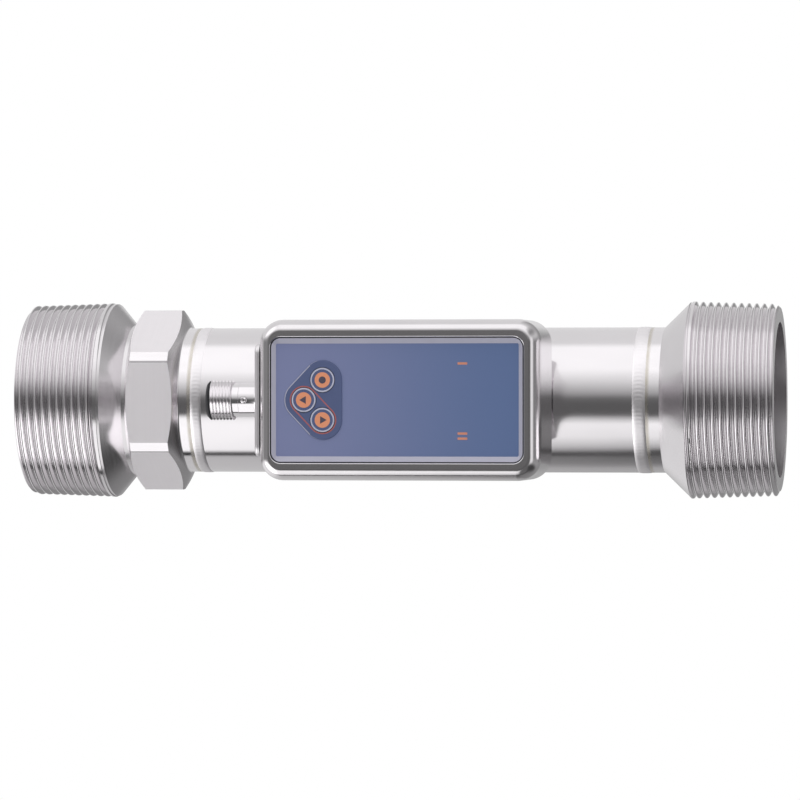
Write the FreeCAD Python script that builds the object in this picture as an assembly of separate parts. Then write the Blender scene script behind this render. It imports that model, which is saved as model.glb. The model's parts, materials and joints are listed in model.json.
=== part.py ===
import FreeCAD, Part
import math
import os

# Ultrasonic flow meter: a steel measuring pipe between two threaded ends, with a sealed electronics
# housing on its front. Millimetres. +X runs along the flow from inlet to outlet, the window faces -Y
# and +Z is up. The origin is on the pipe axis, half way along the meter.

# Measuring pipe and its two weld seams
PIPE_OD = 44.0
PIPE_WALL = 2.0
PIPE_LENGTH = 131.1
INLET_WELD_WIDTH = 3.3
OUTLET_WELD_WIDTH = 3.9
WELD_CROWN = 0.25
WELD_TOE = 1.0

# Threaded ends: the thread is its plain envelope at the gauge diameter
THREAD_OD = 59.6
THREAD_CHAMFER = 1.5
MOUTH_RIM = 6.3
MOUTH_DEPTH = 24.0
MOUTH_TAPER_LENGTH = 6.0

# Inlet fitting, from its end face inwards
INLET_THREAD_LENGTH = 25.6
INLET_LAND_LENGTH = 0.8
INLET_LAND_STEP = 0.3
INLET_CONE_LENGTH = 5.5
INLET_NECK_RELIEF = 1.65
INLET_NECK_LENGTH = 1.1
HEX_LENGTH = 16.2
HEX_ACROSS_FLATS = 49.3
HEX_CORNER_RISE = 2.85
HEX_TURN = 1.8
HEX_CHAMFER_THREAD_SIDE = 2.0
HEX_CHAMFER_WELD_SIDE = 2.5
INLET_STUB_LENGTH = 3.9

# Outlet fitting, from its weld outwards
OUTLET_STUB_LENGTH = 4.1
OUTLET_CONE_LENGTH = 8.0
OUTLET_THREAD_LENGTH = 26.5

# Electronics housing and the saddle that carries it on the pipe
HOUSING_LENGTH = 84.0
HOUSING_HEIGHT = 47.6
HOUSING_DEPTH = 29.1
HOUSING_CORNER = 7.0
HOUSING_WALL = 2.5
HOUSING_SETBACK = 23.2
HOUSING_STANDOFF = 1.2
FRONT_ROUNDING = 3.4
FRONT_ROUNDING_DEPTH = 6.0
FRONT_SECTIONS = 6
BEZEL_SIDE_LAND = 0.8
BEZEL_TOP_LAND = 1.8
BEZEL_INNER_CHAMFER = 0.3
SADDLE_SIDE_RIM = 6.0
SADDLE_TOP_RIM = 4.0
SADDLE_CORNER = 4.0
SENSOR_WINDOW_HEIGHT = 20.0
SENSOR_WINDOW_CORNER = 3.0

# Front window: a stepped seat, the gasket in it and the panel
WINDOW_CORNER = 3.2
WINDOW_SHIFT = -0.4
LEDGE_WIDTH = 2.0
LEDGE_THICKNESS = 2.0
PANEL_RECESS = 0.5
PANEL_THICKNESS = 2.5
GASKET_BED = 0.5
GASKET_EDGE = 0.3
PANEL_LAND = 0.2
PANEL_RIM_SIDE = 1.1
PANEL_RIM_TOP = 1.45
PANEL_RIM_DEPTH = 1.0
PANEL_FIELD_CORNER = 0.5

# Gap round seals and inserts that fill their seat
FIT_GAP = 0.05

# Push keys, placed from the inlet end of the window
KEY_CAP_OD = 7.2
KEY_CLEARANCE = 0.2
KEY_EDGE_DISTANCE = 10.0
KEY_SPACING = 0.234
KEY_ANGLE = 46.5
KEY_ZONE_MARGIN = 2.25
KEY_ZONE_RISE = 0.4
KEY_ZONE_CHAMFER = 0.3
KEY_PROUD = 0.2
KEY_CHAMFER = 0.25
KEY_FLANGE_LIP = 0.15
KEY_FLANGE_THICKNESS = 0.8
KEY_FLANGE_GAP = 0.05
KEY_STEM_OD = 3.2
KEY_TRAVEL = 0.4
KEY_STOP_GAP = 0.3
SWITCH_SIZE = 4.5
SWITCH_BODY_HEIGHT = 1.5
SWITCH_PLUNGER_OD = 2.4
SWITCH_PLUNGER_HEIGHT = 0.7

# Main board, what carries it and what sits on it
BOARD_EDGE_GAP = 0.75
BOARD_THICKNESS = 1.6
BOARD_CORNER = 2.0
BOARD_TO_PANEL = 4.8
STANDOFF_OD = 6.0
STANDOFF_INSET = 3.2
STANDOFF_MARGIN = 1.55
BOARD_SCREW_OD = 2.4
BOARD_SCREW_LENGTH = 8.0
BOARD_SCREW_HEAD_OD = 4.4
BOARD_SCREW_HEAD_HEIGHT = 1.6
SCREW_CLEARANCE = 0.1
CHIP_SIZE = 9.0
CHIP_HEIGHT = 1.4
CHIP_SPACING = 18.0
DISPLAY_KEY_GAP = 9.9
DISPLAY_END_GAP = 7.5
DISPLAY_SIDE_GAP = 10.75
DISPLAY_RIM = 2.0
DISPLAY_GAP = 0.3
CELL_THICKNESS = 1.2
CELL_CLEARANCE = 0.1
CELL_POCKET = 1.5
GUIDE_LENGTH = 2.9
GUIDE_WIDTH = 0.7
GUIDE_END_DISTANCE = 18.3
GUIDE_TOP_DISTANCE = 7.85
GUIDE_BOTTOM_DISTANCE = 8.0
GUIDE_PITCH = 1.5

# Ultrasonic transducers on the pipe wall, their clamp and the temperature element
SEAT_GAP = 0.15
WEDGE_LENGTH = 16.0
WEDGE_WIDTH = 14.0
WEDGE_HEIGHT = 12.0
WEDGE_TOE = 5.0
WEDGE_LAND = 4.0
WEDGE_END_GAP = 2.0
PIEZO_OD = 8.0
PIEZO_THICKNESS = 1.0
CLAMP_END_GAP = 2.0
CLAMP_SHEET = 1.5
CLAMP_MARGIN = 1.0
CLAMP_FOOT = 5.0
CLAMP_SCREW_INSET = 5.0
CLAMP_SCREW_OD = 2.0
CLAMP_SCREW_DEPTH = 1.6
CLAMP_SCREW_HEAD_OD = 3.8
CLAMP_SCREW_HEAD_HEIGHT = 1.2
TEMPERATURE_LENGTH = 8.0
TEMPERATURE_WIDTH = 6.0
TEMPERATURE_HEIGHT = 4.0

# Cable connector on the inlet side wall
CONNECTOR_FRONT_DISTANCE = 14.3
PLATE_WIDTH = 19.0
PLATE_THICKNESS = 1.5
PLATE_CORNER = 3.0
PLATE_EDGE_CHAMFER = 0.9
PLATE_GASKET = 0.3
PLATE_GASKET_INSET = 1.5
CONNECTOR_REACH = 15.6
CONNECTOR_THREAD_OD = 11.8
CONNECTOR_THREAD_LENGTH = 7.8
CONNECTOR_CHAMFER = 0.9
CONNECTOR_NECK_DEPTH = 1.0
CONNECTOR_NECK_WIDTH = 1.9
CONNECTOR_NECK_WALL = 0.6
CONNECTOR_BARREL_STEP = 0.9
CONNECTOR_BASE_FLARE = 1.0
CONNECTOR_SPIGOT_STEP = 0.2
CONNECTOR_SPIGOT_WALL = 0.8
CONNECTOR_SOCKET_DEPTH = 8.4
PIN_OD = 1.0
PIN_WALL = 0.67
PIN_COUNT = 4
PIN_SETBACK = 1.6
PIN_TAIL = 0.8
INDEX_OD = 2.1
INDEX_HOLE = 0.8
INDEX_SETBACK = 4.1
INDEX_PROUD = 0.25
INDEX_SEAT = 0.8
CONNECTOR_BOARD_SIZE = 12.0
CONNECTOR_BOARD_THICKNESS = 1.2

# Radii worked out from the diameters above
pipe_r = PIPE_OD / 2
bore_r = pipe_r - PIPE_WALL
thread_r = THREAD_OD / 2
mouth_r = thread_r - MOUTH_RIM
land_r = thread_r - INLET_LAND_STEP
flat_r = HEX_ACROSS_FLATS / 2
neck_r = flat_r - INLET_NECK_RELIEF
hex_corner_r = flat_r + HEX_CORNER_RISE
key_hole_d = KEY_CAP_OD + 2 * KEY_CLEARANCE
key_flange_d = key_hole_d + 2 * KEY_FLANGE_LIP
connector_thread_r = CONNECTOR_THREAD_OD / 2
connector_neck_r = connector_thread_r - CONNECTOR_NECK_DEPTH
connector_socket_r = connector_neck_r - CONNECTOR_NECK_WALL
connector_barrel_r = connector_thread_r - CONNECTOR_BARREL_STEP
connector_spigot_r = connector_barrel_r - CONNECTOR_SPIGOT_STEP
connector_bore_r = connector_spigot_r - CONNECTOR_SPIGOT_WALL
pin_circle_r = connector_bore_r - PIN_WALL - PIN_OD / 2

# Stations along the flow, inlet to outlet
inlet_end_length = INLET_THREAD_LENGTH + INLET_LAND_LENGTH + INLET_CONE_LENGTH + INLET_NECK_LENGTH
inlet_length = inlet_end_length + HEX_LENGTH + INLET_STUB_LENGTH
outlet_length = OUTLET_STUB_LENGTH + OUTLET_CONE_LENGTH + OUTLET_THREAD_LENGTH
overall_length = inlet_length + INLET_WELD_WIDTH + PIPE_LENGTH + OUTLET_WELD_WIDTH + outlet_length
x_inlet_end = -overall_length / 2
x_land = x_inlet_end + INLET_THREAD_LENGTH
x_inlet_cone = x_land + INLET_LAND_LENGTH
x_inlet_neck = x_inlet_cone + INLET_CONE_LENGTH
x_hex = x_inlet_neck + INLET_NECK_LENGTH
x_inlet_stub = x_hex + HEX_LENGTH
x_inlet_weld = x_inlet_stub + INLET_STUB_LENGTH
x_pipe_start = x_inlet_weld + INLET_WELD_WIDTH
x_pipe_end = x_pipe_start + PIPE_LENGTH
x_outlet_stub = x_pipe_end + OUTLET_WELD_WIDTH
x_outlet_cone = x_outlet_stub + OUTLET_STUB_LENGTH
x_outlet_thread = x_outlet_cone + OUTLET_CONE_LENGTH
x_outlet_end = x_outlet_thread + OUTLET_THREAD_LENGTH

# Stations of the housing along X
x_housing = x_pipe_start + HOUSING_SETBACK + HOUSING_LENGTH / 2
x_window = x_housing + WINDOW_SHIFT
x_side_wall = x_pipe_start + HOUSING_SETBACK
x_side_inner = x_side_wall + HOUSING_WALL
x_plate = x_side_wall - PLATE_GASKET - PLATE_THICKNESS

# Depths along Y: every front is more negative than its back
y_housing_back = -pipe_r - HOUSING_STANDOFF
y_floor = y_housing_back - HOUSING_WALL
y_housing_front = y_housing_back - HOUSING_DEPTH
y_panel_front = y_housing_front + PANEL_RECESS
y_panel_back = y_panel_front + PANEL_THICKNESS
y_ledge_front = y_panel_back + GASKET_BED
y_ledge_back = y_ledge_front + LEDGE_THICKNESS
y_field = y_panel_front + PANEL_RIM_DEPTH
y_zone = y_field - KEY_ZONE_RISE
y_board_front = y_panel_back + BOARD_TO_PANEL
y_board_back = y_board_front + BOARD_THICKNESS
y_switch_front = y_board_front - SWITCH_BODY_HEIGHT - SWITCH_PLUNGER_HEIGHT
y_wedge_top = -pipe_r - WEDGE_HEIGHT
y_connector = y_housing_front + CONNECTOR_FRONT_DISTANCE

# Outlines shared by the window seat, the gasket, the panel and the board
window_length = HOUSING_LENGTH - 2 * (FRONT_ROUNDING + BEZEL_SIDE_LAND)
window_height = HOUSING_HEIGHT - 2 * (FRONT_ROUNDING + BEZEL_TOP_LAND)
ledge_length = window_length - 2 * LEDGE_WIDTH
ledge_height = window_height - 2 * LEDGE_WIDTH
ledge_corner = max(WINDOW_CORNER - LEDGE_WIDTH, 0.5)
panel_length = window_length - 2 * GASKET_EDGE
panel_height = window_height - 2 * GASKET_EDGE
panel_corner = WINDOW_CORNER - GASKET_EDGE
board_length = ledge_length - 2 * BOARD_EDGE_GAP
board_height = ledge_height - 2 * BOARD_EDGE_GAP
x_window_start = x_window - window_length / 2
x_window_end = x_window + window_length / 2

# Places of the keys and of the display behind the panel
key_pitch = key_flange_d + KEY_SPACING
key_step_x = key_pitch * math.cos(math.radians(KEY_ANGLE))
key_step_z = key_pitch * math.sin(math.radians(KEY_ANGLE))
x_first_key = x_window_start + KEY_EDGE_DISTANCE
x_display_start = x_first_key + key_step_x + DISPLAY_KEY_GAP
display_length = x_window_end - DISPLAY_END_GAP - x_display_start
display_height = window_height - 2 * DISPLAY_SIDE_GAP
x_display = x_display_start + display_length / 2
KEY_PLACES = {
    "key_up": (x_first_key, 0.0),
    "key_enter": (x_first_key + key_step_x, key_step_z),
    "key_down": (x_first_key + key_step_x, -key_step_z),
}

# Sensor window between the standoffs, and what lines up with it
board_screw_x = board_length / 2 - STANDOFF_INSET
board_screw_z = board_height / 2 - STANDOFF_INSET
sensor_length = 2 * (board_screw_x - STANDOFF_OD / 2 - STANDOFF_MARGIN)
wedge_spacing = sensor_length - WEDGE_LENGTH - 2 * WEDGE_END_GAP
clamp_length = sensor_length - 2 * CLAMP_END_GAP
clamp_inner_z = SENSOR_WINDOW_HEIGHT / 2 + CLAMP_MARGIN
clamp_outer_z = clamp_inner_z + CLAMP_SHEET
clamp_screw_x = clamp_length / 2 - CLAMP_SCREW_INSET
clamp_screw_z = clamp_outer_z + CLAMP_FOOT / 2
plate_height = HOUSING_HEIGHT - 2 * HOUSING_CORNER
FLOW = FreeCAD.Vector(1, 0, 0)
INWARD = FreeCAD.Vector(0, 1, 0)


def turned(points):
    """Solid of revolution about the pipe axis from its (x, radius) outline."""
    corners = [FreeCAD.Vector(x, radius, 0) for x, radius in points]
    outline = Part.makePolygon(corners + corners[:1])
    return Part.Face(outline).revolve(FreeCAD.Vector(0, 0, 0), FLOW, 360)


def rod(diameter, x, y, z, direction, length):
    """Round rod that starts at a point and runs along a direction."""
    return Part.makeCylinder(diameter / 2, length, FreeCAD.Vector(x, y, z), direction)


def block(length, depth, height, x, y_front, z=0.0):
    """Box centred on x and z that runs back from its front plane."""
    corner = FreeCAD.Vector(x - length / 2, y_front, z - height / 2)
    return Part.makeBox(length, depth, height, corner)


def edges_along_y(solid):
    """Straight edges of a box that run from front to back."""
    return [edge for edge in solid.Edges if abs(edge.tangentAt(edge.FirstParameter).y) > 0.99]


def edges_at(solid, place):
    """Edges whose two ends both answer the question asked of a point."""
    return [edge for edge in solid.Edges if all(place(vertex.Point) for vertex in edge.Vertexes)]


def slab(length, height, corner, x, y_front, y_back):
    """Rounded rectangle in the XZ plane, thick from y_front to y_back."""
    solid = block(length, y_back - y_front, height, x, y_front)
    return solid.makeFillet(corner, edges_along_y(solid))


def rounded_outline(length, height, corner, x, y):
    """Rounded rectangle in the XZ plane as a closed wire."""
    shape = slab(length, height, corner, x, y, y + 1)
    return Part.Wire(Part.__sortEdges__(edges_at(shape, lambda point: abs(point.y - y) < 1e-6)))


def drill(solid, holes):
    """Solid with every hole cut out of it."""
    for hole in holes:
        solid = solid.cut(hole)
    return solid


def weld_seam(x_start, x_end):
    """Ring of weld metal, flush in the bore and slightly crowned outside."""
    return turned([
        (x_start, bore_r),
        (x_start, pipe_r),
        (x_start + WELD_TOE, pipe_r + WELD_CROWN),
        (x_end - WELD_TOE, pipe_r + WELD_CROWN),
        (x_end, pipe_r),
        (x_end, bore_r),
    ])


def measuring_pipe():
    """Plain tube between the two welds."""
    return turned([
        (x_pipe_start, bore_r),
        (x_pipe_start, pipe_r),
        (x_pipe_end, pipe_r),
        (x_pipe_end, bore_r),
    ])


def hexagon_bar(x_start, x_end):
    """Hexagon bar with one flat towards the viewer, turned a little about the pipe."""
    corner_r = flat_r / math.cos(math.radians(30))
    angles = [math.radians(90 + HEX_TURN + 60 * step) for step in range(7)]
    corners = [FreeCAD.Vector(x_start, corner_r * math.cos(a), corner_r * math.sin(a)) for a in angles]
    face = Part.Face(Part.makePolygon(corners))
    return face.extrude(FreeCAD.Vector(x_end - x_start, 0, 0))


def inlet_fitting():
    """Inlet end turned from bar: male thread, cone, spanner hexagon with turned corners, weld stub."""
    blank = turned([
        (x_inlet_end, mouth_r),
        (x_inlet_end, thread_r - THREAD_CHAMFER),
        (x_inlet_end + THREAD_CHAMFER, thread_r),
        (x_land, thread_r),
        (x_land, land_r),
        (x_inlet_cone, land_r),
        (x_inlet_neck, neck_r),
        (x_hex, neck_r),
        (x_hex + HEX_CHAMFER_THREAD_SIDE, hex_corner_r),
        (x_inlet_stub - HEX_CHAMFER_WELD_SIDE, hex_corner_r),
        (x_inlet_stub, pipe_r),
        (x_inlet_weld, pipe_r),
        (x_inlet_weld, bore_r),
        (x_inlet_end + MOUTH_DEPTH + MOUTH_TAPER_LENGTH, bore_r),
        (x_inlet_end + MOUTH_DEPTH, mouth_r),
    ])
    stock = rod(4 * hex_corner_r, x_hex, 0, 0, FLOW, HEX_LENGTH)
    return blank.cut(stock.cut(hexagon_bar(x_hex, x_inlet_stub)))


def outlet_fitting():
    """Outlet end: weld stub, cone and male thread, with the widened mouth."""
    return turned([
        (x_outlet_stub, bore_r),
        (x_outlet_stub, pipe_r),
        (x_outlet_cone, pipe_r),
        (x_outlet_thread, thread_r),
        (x_outlet_end - THREAD_CHAMFER, thread_r),
        (x_outlet_end, thread_r - THREAD_CHAMFER),
        (x_outlet_end, mouth_r),
        (x_outlet_end - MOUTH_DEPTH, mouth_r),
        (x_outlet_end - MOUTH_DEPTH - MOUTH_TAPER_LENGTH, bore_r),
    ])


def pipe_room():
    """Space that the pipe takes, with the seat gap round it."""
    return rod(PIPE_OD + 2 * SEAT_GAP, x_pipe_start, 0, 0, FLOW, PIPE_LENGTH)


def sensor_window(y_front, y_back):
    """Way from the housing through the saddle to the pipe wall."""
    return slab(sensor_length, SENSOR_WINDOW_HEIGHT, SENSOR_WINDOW_CORNER, x_housing, y_front, y_back)


def mounting_saddle():
    """Frame welded between the pipe and the back of the housing."""
    length = sensor_length + 2 * SADDLE_SIDE_RIM
    height = SENSOR_WINDOW_HEIGHT + 2 * SADDLE_TOP_RIM
    frame = slab(length, height, SADDLE_CORNER, x_housing, y_housing_back, 0)
    return frame.cut(sensor_window(y_housing_back, 0)).cut(pipe_room())


def clamp_screw_places():
    """Middle of each clamp screw in X and Z."""
    return [(x_housing + side * clamp_screw_x, end * clamp_screw_z) for side in (-1, 1) for end in (-1, 1)]


def housing_bezel():
    """Front of the can, rounded off on a quarter of an ellipse that is deeper than it is wide."""
    sections = []
    for step in range(FRONT_SECTIONS + 1):
        angle = math.pi / 2 * step / FRONT_SECTIONS
        inset = FRONT_ROUNDING * (1 - math.cos(angle))
        y = y_housing_front + FRONT_ROUNDING_DEPTH * (1 - math.sin(angle))
        length = HOUSING_LENGTH - 2 * inset
        height = HOUSING_HEIGHT - 2 * inset
        sections.append(rounded_outline(length, height, HOUSING_CORNER - inset, x_housing, y))
    return Part.makeLoft(sections, True)


def housing_shell():
    """Deep-drawn can with a rounded bezel, a stepped window seat and a window to the pipe."""
    y_sides = y_housing_front + FRONT_ROUNDING_DEPTH
    shell = slab(HOUSING_LENGTH, HOUSING_HEIGHT, HOUSING_CORNER, x_housing, y_sides, y_housing_back)
    shell = shell.fuse(housing_bezel())
    seat = slab(window_length, window_height, WINDOW_CORNER, x_window, y_housing_front, y_ledge_front)
    shell = shell.cut(seat)
    mouth = edges_at(shell, in_window_mouth)
    shell = shell.makeChamfer(BEZEL_INNER_CHAMFER, mouth)
    step = slab(ledge_length, ledge_height, ledge_corner, x_window, y_ledge_front, y_ledge_back)
    cavity_length = HOUSING_LENGTH - 2 * HOUSING_WALL
    cavity_height = HOUSING_HEIGHT - 2 * HOUSING_WALL
    cavity_corner = HOUSING_CORNER - HOUSING_WALL
    cavity = slab(cavity_length, cavity_height, cavity_corner, x_housing, y_ledge_back, y_floor)
    cable_hole = connector_bore(x_side_wall, HOUSING_WALL)
    screw_d = CLAMP_SCREW_OD + 2 * SCREW_CLEARANCE
    screw_holes = [rod(screw_d, x, y_floor, z, INWARD, CLAMP_SCREW_DEPTH) for x, z in clamp_screw_places()]
    return drill(shell, [step, cavity, sensor_window(y_floor, y_housing_back), cable_hole] + screw_holes)


def in_window_mouth(point):
    """True on the front edge of the window seat."""
    at_front = abs(point.y - y_housing_front) < 1e-6
    in_length = abs(point.x - x_window) < window_length / 2 + 1e-6
    in_height = abs(point.z) < window_height / 2 + 1e-6
    return at_front and in_length and in_height


def panel_gasket():
    """Angle-section seal under the panel and round its edge."""
    length = window_length - 2 * FIT_GAP
    height = window_height - 2 * FIT_GAP
    ring = slab(length, height, WINDOW_CORNER - FIT_GAP, x_window, y_panel_front, y_ledge_front)
    panel_room = slab(panel_length, panel_height, panel_corner, x_window, y_panel_front, y_panel_back)
    opening = slab(ledge_length, ledge_height, ledge_corner, x_window, y_panel_back, y_ledge_front)
    return drill(ring, [panel_room, opening])


def key_zone():
    """Raised pad round the three keys, the hull of a disc round each, with a chamfered edge."""
    depth = y_panel_back - y_zone
    places = list(KEY_PLACES.values())
    radius = KEY_CAP_OD / 2 + KEY_ZONE_MARGIN
    corners = [FreeCAD.Vector(x, y_zone, z) for x, z in places]
    zone = Part.Face(Part.makePolygon(corners + corners[:1])).extrude(FreeCAD.Vector(0, depth, 0))
    for index, (x, z) in enumerate(places):
        next_x, next_z = places[(index + 1) % len(places)]
        disc = rod(2 * radius, x, y_zone, z, INWARD, depth)
        run = math.hypot(next_x - x, next_z - z)
        band = block(run, depth, 2 * radius, run / 2, 0)
        band.rotate(FreeCAD.Vector(0, 0, 0), INWARD, -math.degrees(math.atan2(next_z - z, next_x - x)))
        band.translate(FreeCAD.Vector(x, y_zone, z))
        zone = zone.fuse(disc).fuse(band)
    zone = zone.removeSplitter()
    return zone.makeChamfer(KEY_ZONE_CHAMFER, edges_at(zone, lambda point: abs(point.y - y_zone) < 1e-6))


def rim_outline(side_inset, top_inset, corner, y):
    """Rounded outline inside the edge of the panel."""
    length = panel_length - 2 * side_inset
    height = panel_height - 2 * top_inset
    return rounded_outline(length, height, corner, x_window, y)


def panel_field():
    """Sunk field of the panel with its sloped rim."""
    rim = rim_outline(PANEL_LAND, PANEL_LAND, panel_corner - PANEL_LAND, y_panel_front)
    side = PANEL_LAND + PANEL_RIM_SIDE
    top = PANEL_LAND + PANEL_RIM_TOP
    foot = rim_outline(side, top, PANEL_FIELD_CORNER, y_field)
    return Part.makeLoft([rim, foot], True, True)


def front_panel():
    """Front plate with a sunk field, the raised key zone and a round hole for each key."""
    length = panel_length - 2 * FIT_GAP
    height = panel_height - 2 * FIT_GAP
    panel = slab(length, height, panel_corner - FIT_GAP, x_window, y_panel_front, y_panel_back)
    holes = [rod(key_hole_d, x, y_panel_front, z, INWARD, PANEL_THICKNESS) for x, z in KEY_PLACES.values()]
    return drill(panel.cut(panel_field()).fuse(key_zone()).removeSplitter(), holes)


def push_key(x, z):
    """Round key cap with a chamfered rim, a flange behind the panel and a stem for its switch."""
    y_cap = y_zone - KEY_PROUD
    y_flange = y_panel_back + KEY_FLANGE_GAP
    y_stem = y_flange + KEY_FLANGE_THICKNESS
    y_stem_end = y_switch_front - KEY_TRAVEL - KEY_STOP_GAP
    cap = rod(KEY_CAP_OD, x, y_cap, z, INWARD, y_flange - y_cap)
    rim = edges_at(cap, lambda point: abs(point.y - y_cap) < 1e-6)
    cap = cap.makeChamfer(KEY_CHAMFER, rim)
    flange = rod(key_flange_d, x, y_flange, z, INWARD, KEY_FLANGE_THICKNESS)
    stem = rod(KEY_STEM_OD, x, y_stem, z, INWARD, y_stem_end - y_stem)
    return cap.fuse(flange).fuse(stem).removeSplitter()


def key_switches():
    """One tact switch on the board behind each key."""
    y_body = y_board_front - SWITCH_BODY_HEIGHT
    switches = []
    for x, z in KEY_PLACES.values():
        body = block(SWITCH_SIZE, SWITCH_BODY_HEIGHT, SWITCH_SIZE, x, y_body, z)
        plunger = rod(SWITCH_PLUNGER_OD, x, y_switch_front, z, INWARD, SWITCH_PLUNGER_HEIGHT)
        switches.append(body.fuse(plunger))
    return Part.makeCompound(switches)


def board_screw_places():
    """Middle of each board screw in X and Z."""
    return [(x_window + side * board_screw_x, end * board_screw_z) for side in (-1, 1) for end in (-1, 1)]


def main_board():
    """Circuit board on four standoffs."""
    board = slab(board_length, board_height, BOARD_CORNER, x_window, y_board_front, y_board_back)
    hole_d = BOARD_SCREW_OD + 2 * SCREW_CLEARANCE
    holes = [rod(hole_d, x, y_board_front, z, INWARD, BOARD_THICKNESS) for x, z in board_screw_places()]
    return drill(board, holes)


def board_standoffs():
    """Round pillars on the housing floor, each with a screw hole in its top."""
    hole_d = BOARD_SCREW_OD + 2 * SCREW_CLEARANCE
    pillars = []
    for x, z in board_screw_places():
        pillar = rod(STANDOFF_OD, x, y_board_back, z, INWARD, y_floor - y_board_back)
        pillars.append(pillar.cut(rod(hole_d, x, y_board_back, z, INWARD, BOARD_SCREW_LENGTH)))
    return Part.makeCompound(pillars)


def screw(x, y_head_seat, z, shank_d, shank_length, head_d, head_height):
    """Cap screw driven inwards, its head standing on its seat."""
    head = rod(head_d, x, y_head_seat - head_height, z, INWARD, head_height)
    shank = rod(shank_d, x, y_head_seat, z, INWARD, shank_length)
    return head.fuse(shank)


def board_screws():
    """Screws that hold the board down on its standoffs."""
    head = (BOARD_SCREW_HEAD_OD, BOARD_SCREW_HEAD_HEIGHT)
    places = board_screw_places()
    screws = [screw(x, y_board_front, z, BOARD_SCREW_OD, BOARD_SCREW_LENGTH, *head) for x, z in places]
    return Part.makeCompound(screws)


def signal_chips():
    """Packages of the transit-time electronics on the back of the board."""
    places = [x_window + step * CHIP_SPACING for step in (-1, 0, 1)]
    return Part.makeCompound([block(CHIP_SIZE, CHIP_HEIGHT, CHIP_SIZE, x, y_board_back) for x in places])


def display_frame():
    """Tray on the board that carries the display cell close behind the panel."""
    y_front = y_panel_back + DISPLAY_GAP
    tray = block(display_length, y_board_front - y_front, display_height, x_display, y_front)
    pocket_length = display_length - 2 * DISPLAY_RIM
    pocket_height = display_height - 2 * DISPLAY_RIM
    return tray.cut(block(pocket_length, CELL_POCKET, pocket_height, x_display, y_front))


def display_cell():
    """Display glass in the pocket of its tray."""
    length = display_length - 2 * DISPLAY_RIM - 2 * CELL_CLEARANCE
    height = display_height - 2 * DISPLAY_RIM - 2 * CELL_CLEARANCE
    y_front = y_panel_back + DISPLAY_GAP + CELL_POCKET - CELL_THICKNESS
    return block(length, CELL_THICKNESS, height, x_display, y_front)


def output_light_guides():
    """Light bars from the board to the panel: one for the first output, two for the second."""
    top = window_height / 2 - GUIDE_TOP_DISTANCE
    bottom = GUIDE_BOTTOM_DISTANCE - window_height / 2
    places = (top, bottom - GUIDE_PITCH / 2, bottom + GUIDE_PITCH / 2)
    x = x_window_end - GUIDE_END_DISTANCE
    bars = [block(GUIDE_LENGTH, BOARD_TO_PANEL, GUIDE_WIDTH, x, y_panel_back, z) for z in places]
    return Part.makeCompound(bars)


def wedge_ends(side):
    """Outer and inner end of a wedge in X; side is -1 at the inlet and 1 at the outlet."""
    middle = x_housing + side * wedge_spacing / 2
    return middle + side * WEDGE_LENGTH / 2, middle - side * WEDGE_LENGTH / 2


def transducer_wedge(side):
    """Sound wedge seated on the pipe, sloped so that the beam crosses the flow."""
    outer, inner = wedge_ends(side)
    y_toe = -pipe_r - WEDGE_TOE
    outline = [
        (outer, 0),
        (outer, y_toe),
        (inner + side * WEDGE_LAND, y_wedge_top),
        (inner, y_wedge_top),
        (inner, 0),
    ]
    corners = [FreeCAD.Vector(x, y, -WEDGE_WIDTH / 2) for x, y in outline]
    prism = Part.Face(Part.makePolygon(corners + corners[:1])).extrude(FreeCAD.Vector(0, 0, WEDGE_WIDTH))
    return prism.cut(pipe_room())


def piezo_disc(side):
    """Piezo element on the slope of its wedge."""
    outer, inner = wedge_ends(side)
    low = FreeCAD.Vector(outer, -pipe_r - WEDGE_TOE, 0)
    high = FreeCAD.Vector(inner + side * WEDGE_LAND, y_wedge_top, 0)
    slope = high - low
    away = FreeCAD.Vector(side * abs(slope.y), -abs(slope.x), 0)
    return Part.makeCylinder(PIEZO_OD / 2, PIEZO_THICKNESS, (low + high) / 2, away)


def transducer_clamp():
    """Folded sheet bridge that presses both wedges onto the pipe."""
    y_top = y_wedge_top - CLAMP_SHEET
    y_foot = y_floor - CLAMP_SHEET
    bridge = block(clamp_length, y_floor - y_top, 2 * clamp_outer_z, x_housing, y_top)
    feet = block(clamp_length, CLAMP_SHEET, 2 * (clamp_outer_z + CLAMP_FOOT), x_housing, y_foot)
    room = block(clamp_length, y_floor - y_wedge_top, 2 * clamp_inner_z, x_housing, y_wedge_top)
    hole_d = CLAMP_SCREW_OD + 2 * SCREW_CLEARANCE
    holes = [rod(hole_d, x, y_foot, z, INWARD, CLAMP_SHEET) for x, z in clamp_screw_places()]
    return drill(bridge.fuse(feet).removeSplitter(), [room] + holes)


def clamp_screws():
    """Screws through the feet of the clamp into the housing floor."""
    head = (CLAMP_SCREW_HEAD_OD, CLAMP_SCREW_HEAD_HEIGHT)
    length = CLAMP_SHEET + CLAMP_SCREW_DEPTH - SCREW_CLEARANCE
    y_seat = y_floor - CLAMP_SHEET
    screws = [screw(x, y_seat, z, CLAMP_SCREW_OD, length, *head) for x, z in clamp_screw_places()]
    return Part.makeCompound(screws)


def temperature_element():
    """Small block seated on the pipe wall between the wedges."""
    y_top = -pipe_r - TEMPERATURE_HEIGHT
    return block(TEMPERATURE_LENGTH, -y_top, TEMPERATURE_WIDTH, x_housing, y_top).cut(pipe_room())


def side_pad(width, height, thickness, x_outer, corner):
    """Rounded plate that stands on the side wall round the connector."""
    corner_point = FreeCAD.Vector(x_outer, y_connector - width / 2, -height / 2)
    pad = Part.makeBox(thickness, width, height, corner_point)
    along_x = [edge for edge in pad.Edges if abs(edge.tangentAt(edge.FirstParameter).x) > 0.99]
    return pad.makeFillet(corner, along_x)


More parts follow.
